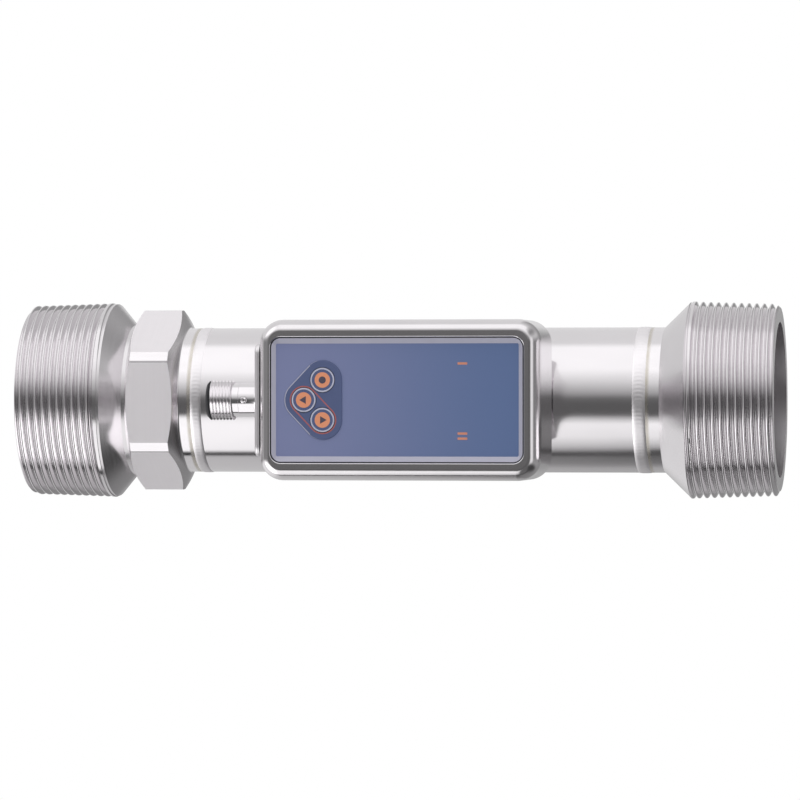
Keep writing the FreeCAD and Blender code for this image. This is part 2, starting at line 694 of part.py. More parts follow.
def connector_bore(x_start, length):
    """Hole for the connector's spigot."""
    return rod(2 * (connector_spigot_r + FIT_GAP), x_start, y_connector, 0, FLOW, length)


def connector_plate():
    """Chamfered pad on the inlet side of the housing that carries the connector."""
    plate = side_pad(PLATE_WIDTH, plate_height, PLATE_THICKNESS, x_plate, PLATE_CORNER)
    outer_edges = edges_at(plate, lambda point: abs(point.x - x_plate) < 1e-6)
    plate = plate.makeChamfer(PLATE_EDGE_CHAMFER, outer_edges)
    return plate.cut(connector_bore(x_plate, PLATE_THICKNESS))


def connector_gasket():
    """Flat seal between the connector plate and the side wall."""
    x_start = x_side_wall - PLATE_GASKET
    width = PLATE_WIDTH - 2 * PLATE_GASKET_INSET
    height = plate_height - 2 * PLATE_GASKET_INSET
    seal = side_pad(width, height, PLATE_GASKET, x_start, PLATE_CORNER)
    return seal.cut(connector_bore(x_start, PLATE_GASKET))


def on_connector_axis(solid):
    """Solid turned about the pipe axis, moved onto the connector axis."""
    solid.translate(FreeCAD.Vector(0, y_connector, 0))
    return solid


def connector_sleeve():
    """Male connector body: threaded nose, neck, barrel with a flared base, spigot through the wall."""
    x_tip = x_plate - CONNECTOR_REACH
    x_neck = x_tip + CONNECTOR_THREAD_LENGTH
    x_barrel = x_neck + CONNECTOR_NECK_WIDTH
    x_socket = x_tip + CONNECTOR_SOCKET_DEPTH
    body = turned([
        (x_tip, connector_socket_r),
        (x_tip, connector_thread_r - CONNECTOR_CHAMFER),
        (x_tip + CONNECTOR_CHAMFER, connector_thread_r),
        (x_neck, connector_thread_r),
        (x_neck, connector_neck_r),
        (x_barrel, connector_neck_r),
        (x_barrel, connector_barrel_r),
        (x_plate - CONNECTOR_BASE_FLARE, connector_barrel_r),
        (x_plate, connector_barrel_r + CONNECTOR_BASE_FLARE),
        (x_plate, connector_spigot_r),
        (x_side_inner, connector_spigot_r),
        (x_side_inner, connector_bore_r),
        (x_socket, connector_bore_r),
        (x_socket, connector_socket_r),
    ])
    return on_connector_axis(body).cut(index_room(INDEX_OD + 2 * FIT_GAP))


def index_room(diameter):
    """Blind seat for the index pin, square to the barrel on the window side."""
    y_seat = y_connector - connector_barrel_r + INDEX_SEAT
    y_out = y_connector - connector_barrel_r - INDEX_PROUD
    return rod(diameter, x_plate - INDEX_SETBACK, y_out, 0, INWARD, y_seat - y_out)


def index_pin():
    """Small dimpled pin in the side of the connector barrel."""
    y_out = y_connector - connector_barrel_r - INDEX_PROUD
    dimple = rod(INDEX_HOLE, x_plate - INDEX_SETBACK, y_out, 0, INWARD, INDEX_SEAT / 2)
    return index_room(INDEX_OD).cut(dimple)


def pin_rods(diameter, x_start, x_end):
    """Rods on the pin circle of the connector."""
    rods = []
    for index in range(PIN_COUNT):
        angle = 2 * math.pi * (index + 0.5) / PIN_COUNT
        y = y_connector + pin_circle_r * math.cos(angle)
        z = pin_circle_r * math.sin(angle)
        rods.append(rod(diameter, x_start, y, z, FLOW, x_end - x_start))
    return rods


def connector_insert():
    """Insulator inside the connector body."""
    x_front = x_plate - CONNECTOR_REACH + CONNECTOR_SOCKET_DEPTH
    diameter = 2 * (connector_bore_r - FIT_GAP)
    insert = rod(diameter, x_front, y_connector, 0, FLOW, x_side_inner - x_front)
    return drill(insert, pin_rods(PIN_OD + 2 * FIT_GAP, x_front, x_side_inner))


def connector_board():
    """Small board on the inside of the wall that the pins are soldered into."""
    corner = FreeCAD.Vector(x_side_inner, y_connector - CONNECTOR_BOARD_SIZE / 2, -CONNECTOR_BOARD_SIZE / 2)
    board = Part.makeBox(CONNECTOR_BOARD_THICKNESS, CONNECTOR_BOARD_SIZE, CONNECTOR_BOARD_SIZE, corner)
    x_end = x_side_inner + CONNECTOR_BOARD_THICKNESS
    return drill(board, pin_rods(PIN_OD + 2 * FIT_GAP, x_side_inner, x_end))


def connector_pins():
    """Contact pins from the socket to their board."""
    x_start = x_plate - CONNECTOR_REACH + PIN_SETBACK
    x_end = x_side_inner + CONNECTOR_BOARD_THICKNESS + PIN_TAIL
    return Part.makeCompound(pin_rods(PIN_OD, x_start, x_end))


def all_parts():
    """Every piece of the meter by its node name."""
    parts = {
        "measuring_pipe": measuring_pipe(),
        "inlet_fitting": inlet_fitting(),
        "outlet_fitting": outlet_fitting(),
        "inlet_weld": weld_seam(x_inlet_weld, x_pipe_start),
        "outlet_weld": weld_seam(x_pipe_end, x_outlet_stub),
        "mounting_saddle": mounting_saddle(),
        "housing_shell": housing_shell(),
        "panel_gasket": panel_gasket(),
        "front_panel": front_panel(),
        "key_switches": key_switches(),
        "main_board": main_board(),
        "board_standoffs": board_standoffs(),
        "board_screws": board_screws(),
        "signal_chips": signal_chips(),
        "display_frame": display_frame(),
        "display_cell": display_cell(),
        "output_light_guides": output_light_guides(),
        "inlet_wedge": transducer_wedge(-1),
        "outlet_wedge": transducer_wedge(1),
        "inlet_piezo": piezo_disc(-1),
        "outlet_piezo": piezo_disc(1),
        "transducer_clamp": transducer_clamp(),
        "clamp_screws": clamp_screws(),
        "temperature_element": temperature_element(),
        "connector_plate": connector_plate(),
        "connector_gasket": connector_gasket(),
        "connector_sleeve": connector_sleeve(),
        "connector_insert": connector_insert(),
        "connector_pins": connector_pins(),
        "connector_board": connector_board(),
        "index_pin": index_pin(),
    }
    for name, (x, z) in KEY_PLACES.items():
        parts[name] = push_key(x, z)
    return parts


os.makedirs("parts", exist_ok=True)
for name, shape in all_parts().items():
    shape.exportStep(os.path.join("parts", name + ".step"))
    print(name, len(shape.Solids), shape.isValid(), round(shape.Volume, 1))
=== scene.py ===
"""Ultrasonic flow meter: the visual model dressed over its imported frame, laid out as an add-on."""

import json
import math

import bpy
from bpy.props import FloatProperty, FloatVectorProperty, IntProperty, PointerProperty
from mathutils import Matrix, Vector


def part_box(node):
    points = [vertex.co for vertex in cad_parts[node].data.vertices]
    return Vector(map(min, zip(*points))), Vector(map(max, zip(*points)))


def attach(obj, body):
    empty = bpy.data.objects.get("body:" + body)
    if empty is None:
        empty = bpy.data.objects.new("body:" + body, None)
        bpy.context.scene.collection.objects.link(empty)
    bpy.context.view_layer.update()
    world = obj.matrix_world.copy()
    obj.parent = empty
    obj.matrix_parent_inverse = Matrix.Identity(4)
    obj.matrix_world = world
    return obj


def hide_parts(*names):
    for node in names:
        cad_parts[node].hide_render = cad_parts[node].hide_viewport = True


bl_info = {
    "name": "Ultrasonic flow meter",
    "version": (1, 0, 0),
    "blender": (4, 5, 0),
    "location": "View3D > Sidebar > Flow meter",
    "description": "Models the flow meter's pieces over its frame, with their finishes and a studio",
    "category": "Object",
}

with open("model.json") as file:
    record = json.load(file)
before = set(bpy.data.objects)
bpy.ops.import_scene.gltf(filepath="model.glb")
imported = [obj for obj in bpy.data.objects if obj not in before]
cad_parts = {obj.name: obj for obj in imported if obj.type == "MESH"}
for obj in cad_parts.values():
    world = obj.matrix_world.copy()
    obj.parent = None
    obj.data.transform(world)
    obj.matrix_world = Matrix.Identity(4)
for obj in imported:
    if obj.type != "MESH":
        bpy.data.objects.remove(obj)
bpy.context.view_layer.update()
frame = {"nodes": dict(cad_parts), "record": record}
MM = 0.001
METER = "meter"
KEYS = ("key_up", "key_enter", "key_down")
FLOW_AXIS = Vector((1, 0, 0))
DEPTH_AXIS = Vector((0, 1, 0))

# Points closer than MERGE become one, a point within TOUCH lies on a plane, and HAIR is a margin for
# picking faces by their place. SQUARE is the cosine from which a face counts as facing a direction.
MERGE = 0.0005 * MM
TOUCH = 0.002 * MM
HAIR = 0.01 * MM
SQUARE = 0.999
FLAT_ANGLE = math.radians(0.5)

# Steps round the pipe and round one weld ripple, parts of half a weld's crown, and the share of a crest's
# rounding that a thread groove cuts
PIPE_STEPS = 256
RIPPLE_STEPS = 8
CROWN_PARTS = 8
CREST_SHARE = 0.9


def length(name, description, millimetres):
    """Property for a size on the meter, given in millimetres."""
    size = millimetres * MM
    return FloatProperty(name=name, description=description, default=size, unit="LENGTH", precision=5)


def angle(name, description, degrees):
    """Property for an angle, given in degrees."""
    return FloatProperty(name=name, description=description, default=math.radians(degrees), subtype="ANGLE")


def number(name, description, value):
    """Property for a plain number."""
    return FloatProperty(name=name, description=description, default=value)


def colour(name, description, red, green, blue):
    """Property for a finish colour."""
    return FloatVectorProperty(
        name=name, description=description, default=(red, green, blue), subtype="COLOR", size=3, min=0, max=1)


class PipeSizes(bpy.types.PropertyGroup):
    """Sizes of the pipe, its welds and its threaded ends."""

    wall: length("Pipe wall", "Wall of the measuring pipe", 2.0)
    thread_pitch: length("Thread pitch", "Eleven threads to the inch", 2.309)
    thread_rounding: length("Thread rounding", "Radius of each crest and root", 0.317)
    thread_flank: angle("Thread flank", "Lean of each flank", 27.5)
    thread_taper: number("Thread taper", "Growth of the diameter along the thread", 1 / 16)
    thread_chamfer: length("Thread chamfer", "Lead-in at each end face", 1.0)
    thread_runout: length("Thread run-out", "Length over which the groove climbs out of the steel", 2.6)
    thread_climb: length("Thread climb", "How far before the thread's inner end that climb starts", 1.82)
    mouth_rim: length("Mouth rim", "Steel between the thread and the mouth", 6.3)
    mouth_depth: length("Mouth depth", "Straight part of the widened mouth", 24.0)
    mouth_taper: length("Mouth taper", "Cone between the mouth and the bore", 6.0)
    inlet_thread: length("Inlet thread", "Length of the inlet thread", 25.6)
    inlet_land: length("Inlet land", "Plain band behind the inlet thread", 0.8)
    inlet_land_step: length("Inlet land step", "How far the land lies below the thread", 0.3)
    inlet_cone: length("Inlet cone", "Cone between the land and the hexagon", 5.5)
    neck_length: length("Neck length", "Straight neck between the cone and the hexagon", 1.1)
    neck_relief: length("Neck relief", "How far the neck lies below the flats", 1.65)
    hex_length: length("Hexagon length", "Length of the spanner hexagon with its chamfers", 16.2)
    hex_flats: length("Hexagon flats", "Size across the flats", 49.3)
    hex_rise: length("Hexagon corner rise", "How far the turned corners stand above the flats", 2.85)
    hex_chamfer_thread: length("Hexagon chamfer at the thread", "Chamfer on the thread side", 2.0)
    hex_chamfer_weld: length("Hexagon chamfer at the weld", "Chamfer on the weld side", 2.5)
    hex_turn: angle("Hexagon turn", "How far the front flat is turned down", 1.8)
    stub_fillet: length("Stub fillet", "Reach of the fillet between the hexagon and its stub", 0.5)
    inlet_phase: length("Inlet thread phase", "Shift of the inlet thread along the pipe", 0.66)
    outlet_phase: length("Outlet thread phase", "Shift of the outlet thread along the pipe", -0.65)
    outlet_stub: length("Outlet stub", "Straight stub behind the outlet weld", 4.1)
    outlet_cone: length("Outlet cone", "Cone between the stub and the outlet thread", 8.0)
    weld_rise: length("Weld rise", "How far the seams stand above the pipe", 0.15)
    weld_ripple: length("Weld ripple", "Height of the ripples on the weld seams", 0.02)
    weld_ripples: IntProperty(name="Weld ripples", description="Ripples round one seam", default=112)
    weld_curl: number("Weld curl", "How far the ripples curve back at the sides of a seam", 2.6)


class HousingSizes(bpy.types.PropertyGroup):
    """Sizes of the electronics housing and its saddle."""

    corner: length("Corner", "Radius of the upright edges", 7.0)
    front_rounding: length("Front rounding", "Radius of the bezel's outer edge", 3.4)
    front_depth: length("Front depth", "Depth of the bezel's outer rounding", 6.0)
    inner_rounding: length("Inner rounding", "Radius of the bezel's inner edge", 0.3)
    wall: length("Wall", "Wall of the can", 2.5)
    window_corner: length("Window corner", "Corner radius of the window seat", 3.2)
    ledge_width: length("Ledge width", "Shelf that the gasket lies on", 2.0)
    ledge_thickness: length("Ledge thickness", "Thickness of that shelf", 2.0)
    sensor_length: length("Sensor window length", "Opening to the pipe, along the flow", 54.0)
    sensor_height: length("Sensor window height", "Opening to the pipe, upright", 20.0)
    sensor_corner: length("Sensor window corner", "Corner radius of that opening", 3.0)
    saddle_corner: length("Saddle corner", "Radius of the saddle's upright edges", 4.0)
    saddle_gap: length("Saddle gap", "Room between the saddle and the pipe", 0.15)
    seal_gap: length("Seal gap", "Room round the panel's seal", 0.05)
    cable_hole_room: length("Cable hole room", "From the connector's insert to its hole in the wall", 0.9)


class PanelSizes(bpy.types.PropertyGroup):
    """Sizes of the front panel, its keys and its printed marks."""

    corner: length("Corner", "Corner radius of the panel", 2.85)
    land: length("Land", "Flat edge round the sloped rim", 0.15)
    rim_side: length("Rim at the sides", "Width of the sloped rim at both ends", 1.1)
    rim_top: length("Rim at top and bottom", "Width of the sloped rim along the long edges", 1.45)
    rim_depth: length("Rim depth", "How deep the field is sunk", 1.0)
    zone_radius: length("Key zone radius", "Reach of the key zone round each key", 5.85)
    field_corner: length("Field corner", "Corner radius of the sunk field", 0.5)
    zone_rise: length("Key zone rise", "How far the key zone stands above the field", 0.4)
    zone_chamfer: length("Key zone chamfer", "Chamfer round the key zone", 0.3)
    key_radius: length("Key radius", "Radius of each key's cap", 3.6)
    key_clearance: length("Key clearance", "Gap round each key", 0.2)
    stem_radius: length("Stem radius", "Stem that presses the switch", 1.6)
    ring_width: length("Key ring width", "Pale ring round each key", 0.42)
    ring_height: length("Key ring height", "How far the ring stands above the key's face", 0.08)
    ring_slope: length("Key ring slope", "Lean of the ring's inner edge", 0.05)
    key_edge: length("Key edge", "Chamfer round each key and its arrow", 0.12)
    flange_gap: length("Key flange gap", "Room between the panel and a key's flange", 0.05)
    flange_thickness: length("Key flange", "Thickness of the flange that holds a key in", 0.8)
    disc_radius: length("Key disc radius", "Coloured disc on each key", 2.3)
    symbol_radius: length("Key symbol radius", "Dark dot on the disc", 1.05)
    arrow_radius: length("Key arrow radius", "Reach of the dark arrow on the disc", 1.3125)
    print_height: length("Print height", "Thickness of printed marks", 0.04)
    link_radius: length("Link line radius", "Reach of the line that links two keys", 4.0)
    link_width: length("Link line width", "Width of that line", 0.36)
    mark_length: length("Mark length", "Length of one output mark", 2.9)
    mark_width: length("Mark width", "Width of one output mark", 0.7)
    mark_pitch: length("Mark pitch", "Between the two marks of the second output", 1.5)


class ConnectorSizes(bpy.types.PropertyGroup):
    """Sizes of the cable connector and its plate."""

    plate_corner: length("Plate corner", "Corner radius of the connector plate", 3.0)
    plate_rounding: length("Plate rounding", "Rounding of the plate's outer edge", 0.9)
    reach: length("Reach", "From the plate to the tip", 15.6)
    thread_length: length("Thread length", "Threaded nose", 7.8)
    thread_pitch: length("Thread pitch", "Pitch of the connector's thread", 1.0)
    thread_rounding: length("Thread rounding", "Radius of each crest and root", 0.14)
    thread_flank: angle("Thread flank", "Lean of each flank", 30.0)
    chamfer: length("Chamfer", "Lead-in at the tip", 0.9)
    tip_ring: length("Tip ring", "Dark band round the tip", 1.25)
    neck_depth: length("Neck depth", "How far the neck lies below the crests", 1.0)
    neck_width: length("Neck width", "Groove behind the thread", 1.9)
    barrel_step: length("Barrel step", "How far the barrel lies below the crests", 0.9)
    flare: length("Base flare", "Flare where the barrel meets the plate", 1.0)
    edge: length("Edge", "Chamfer at the edges of nose and barrel", 0.12)
    seat_gap: length("Seat gap", "Room round the spigot and the index pin", 0.05)
    spigot_step: length("Spigot step", "From the barrel to the spigot", 0.2)
    spigot_wall: length("Spigot wall", "Wall round the insert", 0.8)
    neck_wall: length("Neck wall", "Wall at the neck", 0.6)
    socket_depth: length("Socket depth", "From the tip to the insert", 8.4)
    pin_radius: length("Pin radius", "Radius of one contact pin", 0.5)
    dimple_radius: length("Dimple radius", "Hole in the index pin", 0.38)
    dimple_depth: length("Dimple depth", "Depth of that hole", 0.4)


class FinishColours(bpy.types.PropertyGroup):
    """Colours of the finishes."""

    steel: colour("Steel", "Bare stainless steel", 0.80, 0.775, 0.795)
    heat_tint: colour("Heat tint", "Straw colour beside the welds", 0.46, 0.41, 0.29)
    panel: colour("Panel", "Blue of the front panel", 0.140, 0.210, 0.415)
    panel_pale: colour("Pale panel", "Greyer blue of the panel beside the keys", 0.278, 0.303, 0.520)
    # This pale rim colour also serves as a painted highlight on the key zone's left-facing edges.
    panel_edge: colour("Panel rim", "Greyed blue of the panel's sloped rim", 0.54, 0.535, 0.65)
    zone: colour("Key zone", "Darker blue of the key zone", 0.108, 0.142, 0.290)
    ring: colour("Key ring", "Pale ring on the keys", 0.62, 0.63, 0.78)
    disc: colour("Key disc", "Orange disc on the keys", 0.98, 0.38, 0.21)
    symbol: colour("Key symbol", "Dark symbol on the keys", 0.10, 0.085, 0.125)
    link: colour("Link line", "Red line that links two keys", 0.50, 0.15, 0.15)
    mark: colour("Output mark", "Marks of the two outputs", 0.80, 0.33, 0.22)
    rubber: colour("Rubber", "Seals", 0.045, 0.045, 0.05)
    dark_plastic: colour("Dark plastic", "Inner mouldings", 0.03, 0.03, 0.035)
    board: colour("Circuit board", "Solder mask", 0.02, 0.13, 0.06)
    wedge: colour("Sound wedge", "Amber wedge plastic", 0.55, 0.42, 0.20)
    piezo: colour("Piezo", "Ceramic element", 0.68, 0.63, 0.52)
    brass: colour("Brass", "Contacts and standoffs", 0.80, 0.60, 0.27)


class StageSizes(bpy.types.PropertyGroup):
    """Camera, floor and light of the studio."""

    azimuth: angle("Azimuth", "Camera's turn round the meter", 9.1)
    distance: length("Distance", "From the camera to its aim", 1475.0)
    aim_x: length("Aim", "Where along the flow the camera aims", -1.0)
    lens: number("Lens", "Focal length on a 36 mm sensor", 217.6)
    floor_drop: length("Floor drop", "Floor below the pipe axis", 350.0)
    floor_radius: length("Floor radius", "Reach of the floor", 1200.0)
    floor_thickness: length("Floor thickness", "Thickness of the floor", 5.0)
    light: number("Light", "Strength of the studio's soft panels", 1.0)


def deselect_all():
    """Object mode with nothing selected."""
    if bpy.context.mode != "OBJECT":
        bpy.ops.object.mode_set(mode="OBJECT")
    bpy.ops.object.select_all(action="DESELECT")


def pick(piece):
    """Makes one piece the only selected and active object."""
    deselect_all()
    piece.select_set(True)
    bpy.context.view_layer.objects.active = piece


def edit(piece, mode="VERT", action="SELECT"):
    """Edit mode on one piece, with everything selected or deselected."""
    pick(piece)
    bpy.ops.object.mode_set(mode="EDIT")
    bpy.ops.mesh.select_mode(type=mode)
    bpy.ops.mesh.select_all(action=action)


def named(piece, name):
    """Gives a new object and its mesh their name."""
    piece.name = name
    piece.data.name = name
    return piece


def clean(piece):
    """Merges doubles, turns every face outwards and leaves edit mode."""
    edit(piece)
    bpy.ops.mesh.remove_doubles(threshold=MERGE)
    bpy.ops.mesh.normals_make_consistent(inside=False)
    bpy.ops.object.mode_set(mode="OBJECT")


def apply_modifier(piece, kind, **settings):
    """Adds one modifier, sets it and applies it."""
    pick(piece)
    modifier = piece.modifiers.new(kind.title(), kind)
    for name, value in settings.items():
        setattr(modifier, name, value)
    bpy.ops.object.modifier_apply(modifier=modifier.name)


def carve(piece, tool, operation="DIFFERENCE"):
    """Cuts a piece with a tool, or joins the tool to it, and removes the tool."""
    apply_modifier(piece, "BOOLEAN", operation=operation, object=tool, solver="MANIFOLD")
    bpy.data.objects.remove(tool)


def select_edges(piece, test):
    """In edge mode, selects the edges whose start and end answer the test."""
    edit(piece, "EDGE", "DESELECT")
    bpy.ops.object.mode_set(mode="OBJECT")
    points = piece.data.vertices
    for edge in piece.data.edges:
        edge.select = test(*(points[index].co for index in edge.vertices))
    bpy.ops.object.mode_set(mode="EDIT")


def bevel_edges(piece, test, offset, segments):
    """Bevels the edges whose start and end answer the test."""
    select_edges(piece, test)
    bpy.ops.mesh.bevel(offset=offset, segments=segments)
    clean(piece)


def at(test):
    """Test of an edge that asks the same of both of its ends."""
    return lambda start, end: test(start) and test(end)


def along(axis):
    """Test of an edge that asks whether it runs along an axis."""
    return lambda start, end: abs((end - start)[axis]) > (end - start).length / 2


def keep_flat(piece, test):
    """Marks the rim of the faces that answer the test, so that smooth shading stops there."""
    select_faces(piece, test)
    bpy.ops.mesh.region_to_loop()
    bpy.ops.mesh.mark_sharp()
    bpy.ops.object.mode_set(mode="OBJECT")


def select_faces(piece, test):
    """In face mode, selects the faces whose middle and normal answer the test."""
    edit(piece, "FACE", "DESELECT")
    bpy.ops.object.mode_set(mode="OBJECT")
    for face in piece.data.polygons:
        face.select = test(face.center, face.normal)
    bpy.ops.object.mode_set(mode="EDIT")


def paint_faces(piece, index, test):
    """Gives the faces whose middle and normal answer the test another of the piece's finishes."""
    for face in piece.data.polygons:
        if test(face.center, face.normal):
            face.material_index = index


def near(value, place):
    """True where a coordinate lies on a plane."""
    return abs(value - place) < TOUCH


def drawn(name, points):
    """New piece that is one closed chain of edges, drawn by extruding a single point, left in edit mode."""
    deselect_all()
    bpy.ops.mesh.primitive_plane_add(size=MM)
    piece = named(bpy.context.object, name)
    edit(piece)
    bpy.ops.mesh.merge(type="CENTER")
    bpy.ops.transform.translate(value=points[0])
    for start, end in zip(points, points[1:] + points[:1]):
        bpy.ops.mesh.extrude_region_move(TRANSFORM_OT_translate={"value": Vector(end) - Vector(start)})
    bpy.ops.mesh.select_all(action="SELECT")
    bpy.ops.mesh.remove_doubles(threshold=MERGE)
    return piece


def turned(name, outline, axis=FLOW_AXIS, centre=(0, 0, 0), steps=192):
    """Closed outline of (station, radius) spun about an axis through the centre."""
    centre = Vector(centre)
    outward = Vector((0, -1, 0)) if axis == FLOW_AXIS else Vector((1, 0, 0))
    base = centre - axis * centre.dot(axis)
    piece = drawn(name, [base + axis * station + outward * radius for station, radius in outline])
    bpy.ops.mesh.select_all(action="SELECT")
    bpy.ops.mesh.spin(steps=steps, angle=2 * math.pi, center=base, axis=axis, use_auto_merge=True)
    clean(piece)
    return piece


def rod(name, radius, start, end, axis=FLOW_AXIS, centre=(0, 0, 0), steps=96):
    """Solid round bar, used as a cutting tool."""
    return turned(name, [(start, 0.0), (start, radius), (end, radius), (end, 0.0)], axis, centre, steps)


def slab(name, low, high, corner, segments=12, axis=1):
    """Box between two corners with its edges along one axis rounded."""
    deselect_all()
    bpy.ops.mesh.primitive_cube_add(size=1.0)
    piece = named(bpy.context.object, name)
    low, high = Vector(low), Vector(high)
    edit(piece)
    bpy.ops.transform.resize(value=high - low)
    bpy.ops.transform.translate(value=(low + high) / 2)
    bevel_edges(piece, along(axis), corner, segments)
    return piece


def copied(piece, name, move):
    """Second piece with its own mesh, moved in its mesh from the first one's place."""
    copy = piece.copy()
    copy.data = piece.data.copy()
    bpy.context.collection.objects.link(copy)
    shifted(copy, move)
    return named(copy, name)


def shifted(piece, move):
    """Moves a mesh, with its object left at the origin."""
    edit(piece)
    bpy.ops.transform.translate(value=move)
    bpy.ops.object.mode_set(mode="OBJECT")


def joined(pieces):
    """Several pieces as one, under the first one's name."""
    pick(pieces[0])
    for piece in pieces[1:]:
        piece.select_set(True)
    bpy.ops.object.join()
    return pieces[0]


def hull(name, pieces):
    """Smallest convex body round some pieces, which it uses up."""
    piece = named(joined(pieces), name)
    edit(piece)
    bpy.ops.mesh.convex_hull()
    bpy.ops.mesh.select_all(action="SELECT")
    bpy.ops.mesh.dissolve_limited(angle_limit=FLAT_ANGLE)
    clean(piece)
    return piece


def hull_of_discs(name, places, radius, front, back):
    """Plate whose outline wraps a disc at each place."""
    return hull(name, [rod("disc", radius, front, back, DEPTH_AXIS, place) for place in places])


def finished(piece, slot, finishes, *replaces, body=METER, smooth_angle=30.0):
    """Shades a piece and hands it to the frame: finishes, body and the nodes it stands for. The slot argument
    is not used.
    """
    pick(piece)
    bpy.ops.object.shade_smooth_by_angle(angle=math.radians(smooth_angle))
    apply_modifier(piece, "WEIGHTED_NORMAL", mode="FACE_AREA", weight=50, keep_sharp=True)
    piece.data.materials.clear()
    for name in finishes:
        piece.data.materials.append(finish(name))
    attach(piece, body)
    if replaces:
        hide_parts(*replaces)


def low_high(node):
    """Lowest and highest corner of a node of the frame."""
    low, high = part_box(node)
    return Vector(low), Vector(high)


def middle_of(node):
    """Middle of a node of the frame."""
    low, high = low_high(node)
    return (low + high) / 2


class Signal:
    """Value of a shader socket; Python's operators on it add Math nodes."""

    def __init__(self, sheet, socket):
        self.sheet = sheet
        self.socket = socket

    def math(self, operation, first, second=0.0):
        return self.sheet.node("ShaderNodeMath", {"operation": operation}, {0: first, 1: second})

    def __add__(self, other):
        return self.math("ADD", self, other)

    __radd__ = __add__

    def __sub__(self, other):
        return self.math("SUBTRACT", self, other)

    def __rsub__(self, other):
        return self.math("SUBTRACT", other, self)

    def __mul__(self, other):
        return self.math("MULTIPLY", self, other)

    __rmul__ = __mul__

    def __truediv__(self, other):
        return self.math("DIVIDE", self, other)

    def __abs__(self):
        return self.math("ABSOLUTE", self)

    def root(self):
        return self.math("SQRT", self)

    def angle_from(self, across):
        return self.math("ARCTAN2", self, across)

    def step(self, low, high):
        """Smooth step from 0 at low to 1 at high."""
        sockets = {"Value": self, "From Min": low, "From Max": high}
        return self.sheet.node("ShaderNodeMapRange", {"interpolation_type": "SMOOTHSTEP"}, sockets)


class NodeSheet:
    """A node tree with one method that adds any node."""

    def __init__(self, tree):
        self.tree = tree

    def node(self, kind, settings=None, sockets=None, output=0):
        made = self.tree.nodes.new(kind)
        for name, value in (settings or {}).items():
            if name == "stops":
                self.set_stops(made.color_ramp, value)
            else:
                setattr(made, name, value)
        for name, value in (sockets or {}).items():
            self.put(made.inputs[name], value)
        return Signal(self, made.outputs[output])

    def put(self, socket, value):
        """Links a signal to a socket, or sets the socket's own value."""
        if isinstance(value, Signal):
            self.tree.links.new(value.socket, socket)
        else:
            socket.default_value = value

    def set_stops(self, ramp, stops):
        """Places a ramp's stops, each (position, grey)."""
        while len(ramp.elements) < len(stops):
            ramp.elements.new(1.0)
        for element, (position, grey) in zip(ramp.elements, stops):
            element.position = position
            element.color = (grey, grey, grey, 1.0)

    def ramp(self, factor, low, high, stops):
        """Grey by a factor from low to high; each stop is (factor, grey)."""
        places = [((place - low) / (high - low), grey) for place, grey in stops]
        return self.node("ShaderNodeValToRGB", {"stops": places}, {"Fac": (factor - low) / (high - low)})

    def axes(self, output="Object"):
        """The three coordinates, each as a signal."""
        place = self.node("ShaderNodeTexCoord", output=output)
        split = self.node("ShaderNodeSeparateXYZ", sockets={0: place})
        outputs = split.socket.node.outputs
        return [Signal(self, outputs[index]) for index in range(3)]

    def mix(self, factor, first, second):
        """Colour between two colours."""
        colours = {0: factor, 6: rgba(first), 7: rgba(second)}
        return self.node("ShaderNodeMix", {"data_type": "RGBA"}, colours, output=2)


class Finish(NodeSheet):
    """One material: its shader's constants, and what varies over the surface. Sizes are in millimetres."""

    def __init__(self, name, **constants):
        self.material = bpy.data.materials.new(name)
        self.material.use_nodes = True
        super().__init__(self.material.node_tree)
        self.surface = self.tree.nodes["Principled BSDF"]
        for socket, value in constants.items():
            self.surface.inputs[socket.replace("_", " ")].default_value = value

    def feed(self, socket, value):
        self.put(self.surface.inputs[socket], value)

    def grain(self, blotch, stretch=(1, 1, 1), detail=3.0):
        """Soft noise in the piece's own coordinates, in blotches of a size."""
        place = self.node("ShaderNodeTexCoord", output="Object")
        stretched = self.node("ShaderNodeMapping", sockets={"Vector": place, "Scale": stretch})
        sockets = {"Vector": stretched, "Scale": 1 / (blotch * MM), "Detail": detail, "Roughness": 0.55}
        return self.node("ShaderNodeTexNoise", sockets=sockets)

    def lines(self, along_signal, spacing):
        """Noise that varies along one signal only, such as tool marks."""
        sockets = {"W": along_signal, "Scale": 1 / (spacing * MM), "Detail": 4.0, "Roughness": 0.65}
        return self.node("ShaderNodeTexNoise", {"noise_dimensions": "1D"}, sockets)

    def dress(self, colour, roughness, relief, height):
        """Gives the surface its colour, its roughness and a relief of some height."""
        self.feed("Base Color", colour)
        self.feed("Roughness", roughness)
        bump = {"Height": relief, "Distance": height * MM, "Strength": 1.0}
        self.feed("Normal", self.node("ShaderNodeBump", sockets=bump))
        return self.material

    def tones(self, factor, colour, dark, light):
        """Colour between a darker and a lighter tone of itself."""
        return self.mix(factor, shade(colour, dark), shade(colour, light))

    def turning_path(self, y_axis=0.0):
        """Distance along the tool's path on a turned face: along the axis plus outwards."""
        x, y, z = self.axes()
        across = y - y_axis
        return x + (across * across + z * z).root()


def rgba(value):
    """A colour with its alpha, or the signal as it is."""
    return value if isinstance(value, Signal) else (*value[:3], 1.0)


def shade(value, factor):
    """A colour made darker or lighter."""
    return tuple(min(1.0, part * factor) for part in value)


FINISHES = {}


def finish(name):
    """The material of that name, made once."""
    if name not in FINISHES:
        FINISHES[name] = FINISH_MAKERS[name](name, bpy.context.scene.meter_colours)
    return FINISHES[name]


def turned_steel(name, colours, spacing=0.16, roughness=0.10, spread=0.06, y_axis=0.0, tone=0.90):
    """Steel with fine circular tool marks."""
    steel = Finish(name, Metallic=1.0)
    marks = steel.lines(steel.turning_path(y_axis), spacing)
    blend = marks * 0.6 + steel.grain(6) * 0.4
    colour = steel.tones(blend, colours.steel, tone, tone + 0.12)
    return steel.dress(colour, roughness + marks * spread, marks, 0.002)


